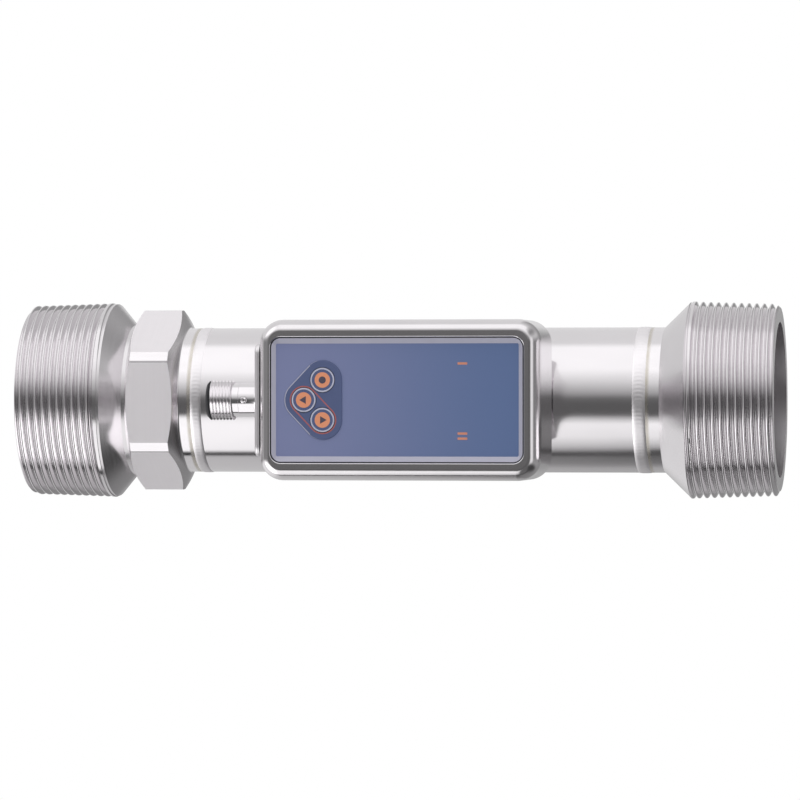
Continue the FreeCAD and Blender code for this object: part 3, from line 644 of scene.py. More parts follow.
def connector_steel(name, colours):
    """Turned steel round the connector's own axis."""
    return turned_steel(name, colours, 0.12, 0.05, 0.05, y_axis=connector_axis(), tone=0.98)


def cone_steel(name, colours):
    """Satin turned steel of the cones and of the hexagon's chamfers."""
    return turned_steel(name, colours, 0.16, 0.20, 0.07, tone=0.86)


def bored_steel(name, colours):
    """Coarser turned steel inside the two mouths."""
    return turned_steel(name, colours, 0.30, 0.24, 0.12, tone=0.86)


def milled_steel(name, colours):
    """Matt spanner flats with soft cross streaks."""
    steel = Finish(name, Metallic=0.45)
    x, _, _ = steel.axes()
    streaks = steel.lines(x, 0.9)
    blend = streaks * 0.6 + steel.grain(4) * 0.4
    colour = steel.tones(blend, colours.steel, 1.15, 1.25)
    return steel.dress(colour, 0.70 + streaks * 0.12, steel.lines(x, 0.12), 0.008)


def polished_steel(name, colours):
    """Pipe steel polished along the flow, with a faint blur."""
    steel = Finish(name, Metallic=1.0)
    cloud = steel.grain(9, (0.25, 1, 1))
    colour = steel.tones(cloud, colours.steel, 0.95, 1.08)
    return steel.dress(colour, 0.12 + cloud * 0.06, steel.grain(0.5, (0.05, 1, 1)), 0.002)


def satin_steel(name, colours):
    """Housing steel, polished with a soft blur."""
    steel = Finish(name, Metallic=1.0)
    fine = steel.grain(0.6, (0.3, 1, 1))
    colour = steel.tones(steel.grain(12), colours.steel, 0.94, 1.04)
    return steel.dress(colour, 0.14 + fine * 0.05, fine, 0.0006)


def matt_steel(name, colours):
    """Blasted steel of the connector's plate."""
    steel = Finish(name, Metallic=1.0)
    fine = steel.grain(0.3)
    return steel.dress(steel.tones(fine, colours.steel, 0.92, 1.06), 0.38 + fine * 0.12, fine, 0.004)


def stub_steel(name, colours):
    """Bright weld stubs with a ring of heat tint beside each seam."""
    steel = Finish(name, Metallic=1.0)
    x, _, _ = steel.axes()
    cloud = steel.grain(3, (0.25, 1, 1))
    ring_places = (low_high("inlet_weld")[0].x - 0.5 * MM, low_high("outlet_weld")[1].x + 0.35 * MM)
    clear = [abs(x - place).step(0.1 * MM, 1.0 * MM) for place in ring_places]
    tint = 2 - clear[0] - clear[1]
    bright = steel.tones(cloud, colours.steel, 1.0, 1.12)
    steel.feed("Base Color", steel.mix(tint * (0.25 + cloud * 0.5), bright, colours.heat_tint))
    steel.feed("Roughness", 0.10 + cloud * 0.05 + tint * 0.15)
    return steel.material


def weld_steel(name, colours):
    """Pale brushed weld metal."""
    steel = Finish(name, Metallic=1.0)
    cloud = steel.grain(1.6)
    return steel.dress(steel.tones(cloud, colours.steel, 1.08, 1.22), 0.34 + cloud * 0.10, cloud, 0.01)


def blue_panel(name, colours):
    """Blue film of the panel, greyer towards the keys."""
    low, high = low_high("front_panel")
    film = Finish(name, Coat_Weight=0.5)
    x, _, _ = film.axes()
    fine = film.grain(0.12)
    base = film.mix(x.step(low.x, high.x), colours.panel_pale, colours.panel)
    colour = film.mix(fine * 0.3, base, shade(colours.panel, 1.12))
    return film.dress(colour, 0.30 + fine * 0.10, fine, 0.003)


def circuit_board(name, colours):
    """Solder mask with copper tracks showing through."""
    board = Finish(name, Coat_Weight=0.3)
    tracks = board.grain(2.5, (1, 1, 0.3), 0.0).step(0.52, 0.55)
    cloud = board.grain(5)
    mask = board.tones(cloud, colours.board, 0.85, 1.0)
    colour = board.mix(tracks * 0.5, mask, shade(colours.board, 2.2))
    return board.dress(colour, 0.35 + cloud * 0.1, tracks, 0.03)


def contact_brass(name, colours):
    """Turned brass."""
    brass = Finish(name, Metallic=1.0)
    marks = brass.lines(brass.turning_path(), 0.2)
    return brass.dress(brass.tones(marks, colours.brass, 0.88, 1.0), 0.22 + marks * 0.12, marks, 0.004)


def plastic(attribute, blotch, roughness, coat=0.0, contrast=0.06):
    """Maker of a moulded plastic in one of the colours, with a faint mottle and a fine grain."""
    def maker(name, colours):
        piece = Finish(name, Coat_Weight=coat)
        fine = piece.grain(0.18)
        colour = piece.tones(piece.grain(blotch), getattr(colours, attribute), 1 - contrast, 1 + contrast)
        return piece.dress(colour, roughness + fine * 0.08, fine, 0.004)

    return maker


STEELS = (
    turned_steel, connector_steel, cone_steel, bored_steel, milled_steel, polished_steel, satin_steel,
    matt_steel, stub_steel, weld_steel,
)
FINISH_MAKERS = {maker.__name__: maker for maker in (*STEELS, blue_panel, circuit_board, contact_brass)}
FINISH_MAKERS.update({
    # Pale rim finish, also used as a painted highlight on the key zone's left-facing edges
    "panel_rim": plastic("panel_edge", 6, 0.34, coat=0.3),
    "key_zone": plastic("zone", 5, 0.40, coat=0.2),
    "key_ring": plastic("ring", 2, 0.45),
    "key_disc": plastic("disc", 2, 0.42),
    "key_symbol": plastic("symbol", 1, 0.5),
    "link_line": plastic("link", 3, 0.45),
    "output_mark": plastic("mark", 1, 0.45),
    "seal_rubber": plastic("rubber", 3, 0.65, contrast=0.25),
    "dark_plastic": plastic("dark_plastic", 4, 0.5, contrast=0.15),
    "display_glass": plastic("dark_plastic", 20, 0.08, coat=0.8),
    "light_guide": plastic("mark", 3, 0.25, coat=0.4),
    "wedge_plastic": plastic("wedge", 5, 0.35, coat=0.1, contrast=0.10),
    "piezo_element": plastic("piezo", 2, 0.6, contrast=0.08),
})
SLOT_FINISHES = {"polished_steel": "satin_steel", "key_plastic": "key_zone"}


def dress_frame_nodes():
    """Gives every node of the frame the finish of its material slot."""
    for part in frame["record"]["subparts"]:
        slot = part["material_slot"]
        node = frame["nodes"][part["node"]]
        node.data.materials.clear()
        node.data.materials.append(finish(SLOT_FINISHES.get(slot, slot)))


def groove_depth(pitch, rounding, flank):
    """Depth of a thread with rounded crests and roots."""
    straight = pitch / 2 - 2 * rounding * math.cos(flank)
    return 2 * rounding * (1 - math.sin(flank)) + straight / math.tan(flank)


def groove_section(pitch, crest_radius, rounding, flank, parts=5):
    """Outline of one groove: rounded root, leaning flanks and most of each rounded crest."""
    depth = groove_depth(pitch, rounding, flank)
    turn = math.pi / 2 - flank
    root = [turn * step / parts for step in range(parts + 1)]
    crest = [turn * (1 - CREST_SHARE * step / parts) for step in range(parts + 1)]
    half = [(rounding * math.sin(a), crest_radius - depth + rounding * (1 - math.cos(a))) for a in root]
    half += [(pitch / 2 - rounding * math.sin(a), crest_radius - rounding * (1 - math.cos(a))) for a in crest]
    half.append((half[-1][0], crest_radius + depth))
    return [(-x, radius) for x, radius in reversed(half[1:])] + half


def thread_groove(name, start, turns, crest_radius, sizes, steps=128):
    """Helical groove round the X axis as a closed cutting tool, from a station towards +X."""
    pitch = sizes.thread_pitch
    section = groove_section(pitch, crest_radius, sizes.thread_rounding, sizes.thread_flank)
    groove = drawn(name, [(start + x, -radius, 0.0) for x, radius in section])
    apply_modifier(
        groove, "SCREW", axis="X", angle=2 * math.pi, screw_offset=pitch, iterations=turns,
        steps=steps, render_steps=steps, use_merge_vertices=False)
    edit(groove)
    bpy.ops.mesh.fill_holes(sides=0)
    clean(groove)
    return groove


def lean_groove(groove, sizes, end_x, inwards, thread_length):
    """Gives a pipe thread's groove its taper, and lets it climb out of the steel at its inner end."""
    climb_from = thread_length - sizes.thread_climb
    depth = groove_depth(sizes.thread_pitch, sizes.thread_rounding, sizes.thread_flank)
    for vertex in groove.data.vertices:
        depth_in = (vertex.co.x - end_x) * inwards
        taper = (depth_in - thread_length) * sizes.thread_taper / 2
        climb = max(0.0, depth_in - climb_from) * depth / sizes.thread_runout
        radius = math.hypot(vertex.co.y, vertex.co.z)
        factor = (radius + taper + climb) / radius
        vertex.co.y *= factor
        vertex.co.z *= factor


def cut_pipe_thread(blank, sizes, end_x, inwards, thread_length, crest_radius, phase):
    """Cuts a tapered pipe thread into a turned blank, from its end face until the groove has run out."""
    turns = math.ceil((thread_length + 3 * sizes.thread_runout) / sizes.thread_pitch)
    outer = end_x - inwards * sizes.thread_pitch + phase
    start = outer if inwards > 0 else outer - turns * sizes.thread_pitch
    groove = thread_groove("thread_tool", start, turns, crest_radius, sizes)
    lean_groove(groove, sizes, end_x, inwards, thread_length)
    carve(blank, groove)
    keep_flat(blank, lambda middle, facing: near(middle.x, end_x) and abs(facing.x) > SQUARE)


def end_outline(sizes, end_x, inwards, thread_length, crest_radius):
    """Outline of a threaded end from its mouth to the inner end of the thread."""
    end_radius = crest_radius - thread_length * sizes.thread_taper / 2
    chamfer = sizes.thread_chamfer
    return [
        (end_x, crest_radius - sizes.mouth_rim),
        (end_x, end_radius - chamfer),
        (end_x + inwards * chamfer, end_radius + chamfer * sizes.thread_taper / 2),
        (end_x + inwards * thread_length, crest_radius),
    ]


def mouth_outline(sizes, end_x, inwards, bore, crest_radius):
    """Outline of the widened mouth, from the bore outwards."""
    deep = end_x + inwards * sizes.mouth_depth
    return [(deep + inwards * sizes.mouth_taper, bore), (deep, crest_radius - sizes.mouth_rim)]


def hexagon_normals(turn):
    """Outward direction of each spanner flat, one of them towards the viewer."""
    angles = [math.radians(60 * step) - turn for step in range(6)]
    return [Vector((0, -math.cos(angle), math.sin(angle))) for angle in angles]


def mill_hexagon(piece, x_start, x_end, flat_distance, normals):
    """Slices six flats off the turned part of a piece between two stations."""
    for normal in normals:
        select_faces(piece, lambda middle, facing: x_start < middle.x < x_end)
        bpy.ops.mesh.bisect(
            plane_co=normal * flat_distance, plane_no=normal, use_fill=True, clear_outer=True,
            threshold=TOUCH / 2)
        bpy.ops.object.mode_set(mode="OBJECT")
    clean(piece)


def filleted(before, corner, after, reach, steps=5):
    """Points of a soft curve in place of an outline's corner."""
    before, corner, after = Vector(before), Vector(corner), Vector(after)
    start = corner + (before - corner).normalized() * reach
    end = corner + (after - corner).normalized() * reach
    shares = [step / steps for step in range(steps + 1)]
    return [tuple(start * (1 - s) ** 2 + corner * 2 * s * (1 - s) + end * s * s) for s in shares]


def paint_mouth(piece, index, sizes, crest):
    """Gives the inside of a threaded end its bored finish."""
    mouth = crest - sizes.mouth_rim

    def inside(middle, facing):
        return middle.yz.length < mouth + HAIR and facing.yz.dot(middle.yz) < 0

    paint_faces(piece, index, inside)


def make_inlet_fitting(sizes):
    """Inlet end: tapered male thread, land, cone, spanner hexagon with turned corners, weld stub."""
    low, high = low_high("inlet_fitting")
    pipe_radius = low_high("measuring_pipe")[1].z
    bore = pipe_radius - sizes.wall
    crest = high.z
    flat = sizes.hex_flats / 2
    corner = flat + sizes.hex_rise
    neck = flat - sizes.neck_relief
    x_land = low.x + sizes.inlet_thread
    x_cone = x_land + sizes.inlet_land
    x_neck = x_cone + sizes.inlet_cone
    x_hex = x_neck + sizes.neck_length
    x_stub = x_hex + sizes.hex_length
    shoulder = (x_stub - sizes.hex_chamfer_weld, corner)
    piece = turned("inlet_end", [
        *end_outline(sizes, low.x, 1, sizes.inlet_thread, crest),
        (x_land, crest - sizes.inlet_land_step),
        (x_cone, crest - sizes.inlet_land_step),
        (x_neck, neck),
        (x_hex, neck),
        (x_hex + sizes.hex_chamfer_thread, corner),
        shoulder,
        *filleted(shoulder, (x_stub, pipe_radius), (high.x, pipe_radius), sizes.stub_fillet),
        (high.x, pipe_radius),
        (high.x, bore),
        *mouth_outline(sizes, low.x, 1, bore, crest),
    ])
    normals = hexagon_normals(sizes.hex_turn)
    mill_hexagon(piece, x_hex, x_stub, flat, normals)
    cut_pipe_thread(piece, sizes, low.x, 1, sizes.inlet_thread, crest, sizes.inlet_phase)
    names = ["turned_steel", "milled_steel", "stub_steel", "bored_steel", "cone_steel"]
    finished(piece, "turned_steel", names, "inlet_fitting")

    def on_flat(middle, facing):
        return any(near(middle.dot(normal), flat) and facing.dot(normal) > SQUARE for normal in normals)

    def bright(middle, facing):
        on_corner = x_hex < middle.x and middle.yz.length > corner - 2 * HAIR
        return on_corner or (middle.x > x_stub and middle.yz.length > bore + sizes.wall / 2)

    paint_faces(piece, 4, lambda middle, facing: x_land < middle.x < x_stub)
    paint_faces(piece, 1, on_flat)
    paint_faces(piece, 2, bright)
    paint_mouth(piece, 3, sizes, crest)


def make_outlet_fitting(sizes):
    """Outlet end: weld stub, cone, tapered male thread and widened mouth."""
    low, high = low_high("outlet_fitting")
    pipe_radius = low_high("measuring_pipe")[1].z
    bore = pipe_radius - sizes.wall
    crest = high.z
    x_cone = low.x + sizes.outlet_stub
    x_thread = x_cone + sizes.outlet_cone
    thread_length = high.x - x_thread
    piece = turned("outlet_end", [
        *end_outline(sizes, high.x, -1, thread_length, crest),
        (x_cone, pipe_radius),
        (low.x, pipe_radius),
        (low.x, bore),
        *mouth_outline(sizes, high.x, -1, bore, crest),
    ])
    cut_pipe_thread(piece, sizes, high.x, -1, thread_length, crest, sizes.outlet_phase)
    names = ["turned_steel", "stub_steel", "bored_steel", "cone_steel"]
    finished(piece, "turned_steel", names, "outlet_fitting")

    def on_cone(middle, facing):
        faces_weld = facing.x < -0.5
        return faces_weld and x_cone < middle.x < x_thread

    def on_stub(middle, facing):
        return middle.x < x_cone and middle.yz.length > bore + sizes.wall / 2

    paint_faces(piece, 3, on_cone)
    paint_faces(piece, 1, on_stub)
    paint_mouth(piece, 2, sizes, crest)


def make_measuring_pipe(sizes):
    """Polished tube between the welds."""
    low, high = low_high("measuring_pipe")
    bore = high.z - sizes.wall
    outline = [(low.x, bore), (low.x, high.z), (high.x, high.z), (high.x, bore)]
    piece = turned("pipe_tube", outline, steps=PIPE_STEPS)
    finished(piece, "polished_steel", ["polished_steel"], "measuring_pipe")


def ripple_weld(piece, sizes, x_middle, half, radius):
    """Raises the curved ripples that the arc leaves round a seam."""
    for vertex in piece.data.vertices:
        reach = vertex.co.yz.length
        if reach < radius - HAIR:
            continue
        across = (vertex.co.x - x_middle) / half
        turn = math.atan2(vertex.co.z, -vertex.co.y)
        wave = 0.5 + 0.5 * math.cos(sizes.weld_ripples * turn + sizes.weld_curl * across ** 2)
        factor = 1 + sizes.weld_ripple * wave * (1 - across ** 2) / reach
        vertex.co.y *= factor
        vertex.co.z *= factor


def make_weld_seams(sizes):
    """Two orbital weld seams, each a ring with a flat crown, rounded sides and ripples."""
    pipe_radius = low_high("measuring_pipe")[1].z
    bore = pipe_radius - sizes.wall
    stations = [step / CROWN_PARTS for step in range(-CROWN_PARTS, CROWN_PARTS + 1)]
    for node in ("inlet_weld", "outlet_weld"):
        low, high = low_high(node)
        x_middle, half = (low.x + high.x) / 2, (high.x - low.x) / 2
        rises = [sizes.weld_rise * (1 - across ** 4) for across in stations]
        crown = [(x_middle + half * across, pipe_radius + rise) for across, rise in zip(stations, rises)]
        outline = [(low.x, bore), *crown, (high.x, bore)]
        piece = turned(node.replace("weld", "seam"), outline, steps=sizes.weld_ripples * RIPPLE_STEPS)
        ripple_weld(piece, sizes, x_middle, half, pipe_radius)
        finished(piece, "weld_steel", ["weld_steel"], node, smooth_angle=50.0)


def inner_tool(name, low, high, inset, corner, front, back):
    """Rounded cutting tool inside a rectangle, between two depths."""
    start = (low.x + inset, front, low.z + inset)
    end = (high.x - inset, back, high.z - inset)
    return slab(name, start, end, corner)


def make_housing(sizes):
    """Deep-drawn can with a rounded bezel, a stepped window seat, a cable hole and the window to the pipe."""
    low, high = low_high("housing_shell")
    gap = Vector((sizes.seal_gap, 0, sizes.seal_gap))
    seat_low, seat_high = low_high("panel_gasket")
    seat_low, seat_high = seat_low - gap, seat_high + gap
    shell = rounded_can(sizes, low, high)
    seat_back = seat_high.y
    ledge_back = seat_back + sizes.ledge_thickness
    carve(shell, inner_tool("seat_tool", seat_low, seat_high, 0, sizes.window_corner, low.y - MM, seat_back))
    round_bezel(shell, sizes, low.y, seat_low, seat_high)
    ledge = sizes.ledge_width
    step_corner = sizes.window_corner - ledge
    carve(shell, inner_tool(
        "step_tool", seat_low, seat_high, ledge, step_corner, seat_back - MM, ledge_back + MM))
    room_back = high.y - sizes.wall
    room_corner = sizes.corner - sizes.wall
    carve(shell, inner_tool("room_tool", low, high, sizes.wall, room_corner, ledge_back, room_back))
    carve(shell, sensor_tool(sizes, (low.x + high.x) / 2, room_back - MM, high.y + MM))
    insert_low, insert_high = low_high("connector_insert")
    hole = (insert_high - insert_low).z / 2 + sizes.cable_hole_room
    axis = (0, connector_axis(), 0)
    carve(shell, rod("cable_tool", hole, low.x - MM, low.x + sizes.wall + MM, centre=axis))
    finished(shell, "polished_steel", ["satin_steel"], "housing_shell")


def rounded_can(sizes, low, high):
    """Block of the housing with its front edge rounded on a quarter of an ellipse."""
    shell = slab("housing_can", low, high, sizes.corner, 20)
    rounding = sizes.front_rounding
    bevel_edges(shell, at(lambda point: near(point.y, low.y)), rounding, 14)
    select_edges(shell, at(lambda point: point.y < low.y + rounding + HAIR))
    stretch = (1, sizes.front_depth / rounding, 1)
    bpy.ops.transform.resize(value=stretch, center_override=(0, low.y, 0))
    clean(shell)
    return shell


def round_bezel(shell, sizes, front, seat_low, seat_high):
    """Softens the bezel's edge round the window."""
    def on_mouth(point):
        in_length = seat_low.x - HAIR < point.x < seat_high.x + HAIR
        in_height = seat_low.z - HAIR < point.z < seat_high.z + HAIR
        return near(point.y, front) and in_length and in_height

    bevel_edges(shell, at(on_mouth), sizes.inner_rounding, 3)


def sensor_tool(sizes, x_middle, front, back):
    """Cutting tool for the opening from the housing to the pipe wall."""
    half = Vector((sizes.sensor_length / 2, 0, sizes.sensor_height / 2))
    low = Vector((x_middle, front, 0)) - half
    high = Vector((x_middle, back, 0)) + half
    return slab("sensor_tool", low, high, sizes.sensor_corner)


def make_saddle(sizes):
    """Frame that carries the housing on the pipe."""
    low, high = low_high("mounting_saddle")
    pipe_room = low_high("measuring_pipe")[1].z + sizes.saddle_gap
    saddle = slab("pipe_saddle", low, (high.x, 0.0, high.z), sizes.saddle_corner)
    carve(saddle, sensor_tool(sizes, (low.x + high.x) / 2, low.y - MM, MM))
    carve(saddle, rod("pipe_tool", pipe_room, low.x - MM, high.x + MM, steps=PIPE_STEPS))
    finished(saddle, "polished_steel", ["satin_steel"], "mounting_saddle")


def key_place(key):
    """Axis of a key in X and Z."""
    middle = middle_of(key)
    return Vector((middle.x, 0, middle.z))


def drill_keys(piece, sizes, front, back):
    """Cuts a hole for each key through a piece."""
    hole = sizes.key_radius + sizes.key_clearance
    for key in KEYS:
        carve(piece, rod("key_tool", hole, front - MM, back + MM, DEPTH_AXIS, key_place(key)))


def make_front_panel(sizes):
    """Blue panel: sloped rim, sunk field, raised key zone and a hole for each key."""
    low, high = low_high("front_panel")
    panel = slab("window_panel", low, high, sizes.corner, 10)
    field = low.y + sizes.rim_depth
    zone = field - sizes.zone_rise
    foot = Vector((sizes.land + sizes.rim_side, 0, sizes.land + sizes.rim_top))
    carve(panel, field_tool(sizes, low, high, foot))
    places = [key_place(key) for key in KEYS]
    pad = hull_of_discs("zone_pad", places, sizes.zone_radius, zone, field + sizes.zone_rise)
    bevel_edges(pad, at(lambda point: near(point.y, zone)), sizes.zone_chamfer, 2)
    carve(panel, pad, "UNION")
    drill_keys(panel, sizes, low.y, high.y)
    finished(panel, "blue_panel", ["blue_panel", "panel_rim", "key_zone"], "front_panel")
    inner_low, inner_high = low + foot, high - foot

    def raised(middle, facing):
        return middle.y < field - HAIR and facing.y < -0.1

    def in_field(middle):
        return inner_low.x < middle.x < inner_high.x and inner_low.z < middle.z < inner_high.z

    # Rim faces take the pale rim colour. The key zone's left-facing edges take it too, as a painted highlight
    # of the light from the left.
    def pale(middle, facing):
        faces_left = facing.x < -0.25
        return raised(middle, facing) and (faces_left or not in_field(middle))

    paint_faces(panel, 2, raised)
    paint_faces(panel, 1, pale)


def field_tool(sizes, low, high, foot):
    """Cutting tool for the sunk field with its sloped rim, a little longer than needed at the front."""
    spare = 0.3 * sizes.rim_depth
    spread = Vector((sizes.rim_side, 0, sizes.rim_top)) * spare / sizes.rim_depth
    land = Vector((sizes.land, 0, sizes.land)) - spread
    front = low.y - spare
    field = low.y + sizes.rim_depth
    rim_low, rim_high = low + land, high - land
    foot_low, foot_high = low + foot, high - foot
    rim_low.y, rim_high.y = front, front + HAIR
    foot_low.y, foot_high.y = field - HAIR, field
    return hull("field_tool", [
        slab("field_rim", rim_low, rim_high, sizes.corner, 10),
        slab("field_foot", foot_low, foot_high, sizes.field_corner, 6),
    ])


def make_printed_marks(sizes):
    """Printed marks on the panel: one bar and two bars for the outputs, and the line that links two keys."""
    guides_low, guides_high = low_high("output_light_guides")
    field = low_high("front_panel")[0].y + sizes.rim_depth
    thick = sizes.print_height
    first = guides_high.z - sizes.mark_width / 2
    second = guides_low.z + sizes.mark_width / 2
    middle = Vector(((guides_low.x + guides_high.x) / 2, field, first))
    half = Vector((sizes.mark_length / 2, thick, sizes.mark_width / 2))
    bars = [slab("output_bar_1", middle - half, middle + half, sizes.mark_width / 5, 4)]
    bars.append(copied(bars[0], "output_bar_2", (0, 0, second - first)))
    bars.append(copied(bars[0], "output_bar_3", (0, 0, second + sizes.mark_pitch - first)))
    for bar in bars:
        finished(bar, "light_guide", ["output_mark"])
    zone = field - sizes.zone_rise
    front, back = zone - thick, zone + thick
    ends = [key_place("key_up"), key_place("key_down")]
    line = hull_of_discs("link_line", ends, sizes.link_radius + sizes.link_width / 2, front, back)
    inner = sizes.link_radius - sizes.link_width / 2
    carve(line, hull_of_discs("link_tool", ends, inner, front - MM, back + MM))
    drill_keys(line, sizes, front, back)
    finished(line, "blue_panel", ["link_line"])


def key_cap(sizes, low, high, place, sunk):
    """Key body: cap with a raised ring, flange and stem."""
    radius = sizes.key_radius
    ring = radius - sizes.ring_width
    edge = sizes.key_edge
    flange = (high.x - low.x) / 2
    flange_front = low_high("front_panel")[1].y + sizes.flange_gap
    flange_back = flange_front + sizes.flange_thickness
    stem = sizes.stem_radius
    return turned(KEYS[0] + "_cap", [
        (sunk, 0), (sunk, ring - sizes.ring_slope), (low.y, ring), (low.y, radius - edge),
        (low.y + edge, radius), (flange_front, radius), (flange_front, flange), (flange_back, flange),
        (flange_back, stem), (high.y, stem), (high.y, 0),
    ], DEPTH_AXIS, place, 96)


def key_disc(sizes, place, front, back):
    """Printed disc on a key's sunk face."""
    radius = sizes.disc_radius
    edge = sizes.print_height / 2
    outline = [(front, 0), (front, radius - edge), (front + edge, radius), (back, radius), (back, 0)]
    return turned(KEYS[0] + "_disc", outline, DEPTH_AXIS, place, 72)


def make_keys(sizes):
    """Three round keys: cap and disc are modelled once and copied, and each key gets its own symbol."""
    low, high = low_high(KEYS[0])
    places = [key_place(key) for key in KEYS]
    sunk = low.y + sizes.ring_height
    disc_front = sunk - sizes.print_height
    caps = [key_cap(sizes, low, high, places[0], sunk)]
    discs = [key_disc(sizes, places[0], disc_front, sunk + sizes.print_height)]
    for key, place in zip(KEYS[1:], places[1:]):
        caps.append(copied(caps[0], key + "_cap", place - places[0]))
        discs.append(copied(discs[0], key + "_disc", place - places[0]))
    ring_inside = sizes.key_radius - sizes.ring_width - 2 * sizes.ring_slope
    ring_back = low.y + sizes.key_edge + HAIR
    for key, place, cap, disc in zip(KEYS, places, caps, discs):
        finished(cap, "key_plastic", ["key_zone", "key_ring"], key, body=key)
        paint_faces(cap, 1, lambda middle, facing: (
            middle.y < ring_back and (middle - place).xz.length > ring_inside))
        finished(disc, "key_plastic", ["key_disc"], body=key)
        make_key_symbol(key, sizes, place, disc_front)


def make_key_symbol(key, sizes, place, disc_front):
    """Dark symbol on a key: a dot to enter, an arrow towards either end to step."""
    sides = {"key_enter": 48, "key_up": 3, "key_down": 3}[key]
    turn = {"key_enter": 0, "key_up": math.pi, "key_down": 0}[key]
    reach = sizes.symbol_radius if sides > 3 else sizes.arrow_radius
    front = disc_front - sizes.print_height
    angles = [turn + 2 * math.pi * step / sides for step in range(sides)]
    outline = [(place.x + reach * math.cos(a), front, place.z + reach * math.sin(a)) for a in angles]
    symbol = drawn(key + "_symbol", outline)
    bpy.ops.mesh.edge_face_add()
    bpy.ops.mesh.extrude_region_move(TRANSFORM_OT_translate={"value": (0, 1.5 * sizes.print_height, 0)})
    clean(symbol)
    if sides == 3:
        bevel_edges(symbol, along(1), sizes.key_edge, 3)
    finished(symbol, "key_plastic", ["key_symbol"], body=key)


def connector_axis():
    """Depth of the connector's axis."""
    return middle_of("connector_insert").y


def crest_radius():
    """Radius over the crests of the connector's thread."""
    low, high = low_high("connector_sleeve")
    return (high.z - low.z) / 2


def spigot_radius(sizes):
    """Radius of the sleeve's spigot in the housing wall."""
    return crest_radius() - sizes.barrel_step - sizes.spigot_step


def make_connector_plate(sizes):
    """Rounded pad on the inlet side of the housing."""
    low, high = low_high("connector_plate")
    plate = slab("connector_pad", low, high, sizes.plate_corner, 10, axis=0)
    bevel_edges(plate, at(lambda point: near(point.x, low.x)), sizes.plate_rounding, 8)
    hole = spigot_radius(sizes) + sizes.seat_gap
    carve(plate, rod("pad_tool", hole, low.x - MM, high.x + MM, centre=(0, connector_axis(), 0)))
    finished(plate, "polished_steel", ["matt_steel"], "connector_plate")


def make_connector_sleeve(sizes):
    """Connector body: threaded nose, neck, barrel with a flared base and spigot."""
    low, high = low_high("connector_sleeve")
    crest = crest_radius()
    neck = crest - sizes.neck_depth
    barrel = crest - sizes.barrel_step
    spigot = spigot_radius(sizes)
    bore = spigot - sizes.spigot_wall
    socket = neck - sizes.neck_wall
    edge = sizes.edge
    flare = sizes.flare
    bend = 0.3 * flare
    x_neck = low.x + sizes.thread_length
    x_barrel = x_neck + sizes.neck_width
    x_plate = low.x + sizes.reach
    x_socket = low.x + sizes.socket_depth
    sleeve = turned("connector_body", [
        (low.x, socket), (low.x, crest - sizes.chamfer), (low.x + sizes.chamfer, crest),
        (x_neck - edge, crest), (x_neck, crest - edge), (x_neck, neck), (x_barrel, neck),
        (x_barrel, barrel - edge), (x_barrel + edge, barrel), (x_plate - flare, barrel),
        (x_plate - bend, barrel + bend), (x_plate, barrel + flare),
        (x_plate, spigot), (high.x, spigot), (high.x, bore), (x_socket, bore), (x_socket, socket),
    ], steps=128)
    turns = math.ceil(sizes.thread_length / sizes.thread_pitch) + 1
    carve(sleeve, thread_groove("nose_tool", low.x - sizes.thread_pitch, turns, crest, sizes, 96))
    shifted(sleeve, (0, connector_axis(), 0))
    pin_low, pin_high = low_high("index_pin")
    seat = (pin_high.x - pin_low.x) / 2 + sizes.seat_gap
    carve(sleeve, rod("index_tool", seat, pin_low.y - MM, pin_high.y, DEPTH_AXIS, middle_of("index_pin"), 48))
    finished(sleeve, "turned_steel", ["connector_steel", "seal_rubber"], "connector_sleeve")
    paint_faces(sleeve, 1, lambda middle, facing: low.x + HAIR < middle.x < low.x + sizes.tip_ring)


def make_index_pin(sizes):
    """Small dimpled pin in the barrel, with a rounded rim."""
    low, high = low_high("index_pin")
    radius = (high.x - low.x) / 2
    half = (radius - sizes.dimple_radius) / 2
    ridge = sizes.dimple_radius + half
    arc = [math.pi * (1 - step / 10) for step in range(11)]
    rim = [(low.y + half * (1 - math.sin(angle)), ridge + half * math.cos(angle)) for angle in arc]
    floor = low.y + sizes.dimple_depth
    outline = [(floor, 0), (floor, sizes.dimple_radius), *rim, (high.y, radius), (high.y, 0)]
    pin = turned("dimpled_pin", outline, DEPTH_AXIS, middle_of("index_pin"), 64)
    finished(pin, "turned_steel", ["connector_steel"], "index_pin")


def make_contact_pins(sizes):
    """Four contact pins with rounded noses, modelled once and copied."""
    low, high = low_high("connector_pins")
    radius = sizes.pin_radius
    reach = (high.z - low.z) / 2 - radius
    arc = [math.pi / 2 * step / 5 for step in range(6)]
    nose = [(low.x + radius * (1 - math.cos(angle)), radius * math.sin(angle)) for angle in arc]
    outline = nose + [(high.x, radius), (high.x, 0)]
    first = turned("contact_pins", outline, centre=(0, connector_axis() + reach, reach), steps=32)
    moves = [(0, -2 * reach, 0), (0, -2 * reach, -2 * reach), (0, 0, -2 * reach)]
    joined([first] + [copied(first, "contact_copy", move) for move in moves])
    finished(first, "contact_brass", ["contact_brass"], "connector_pins")


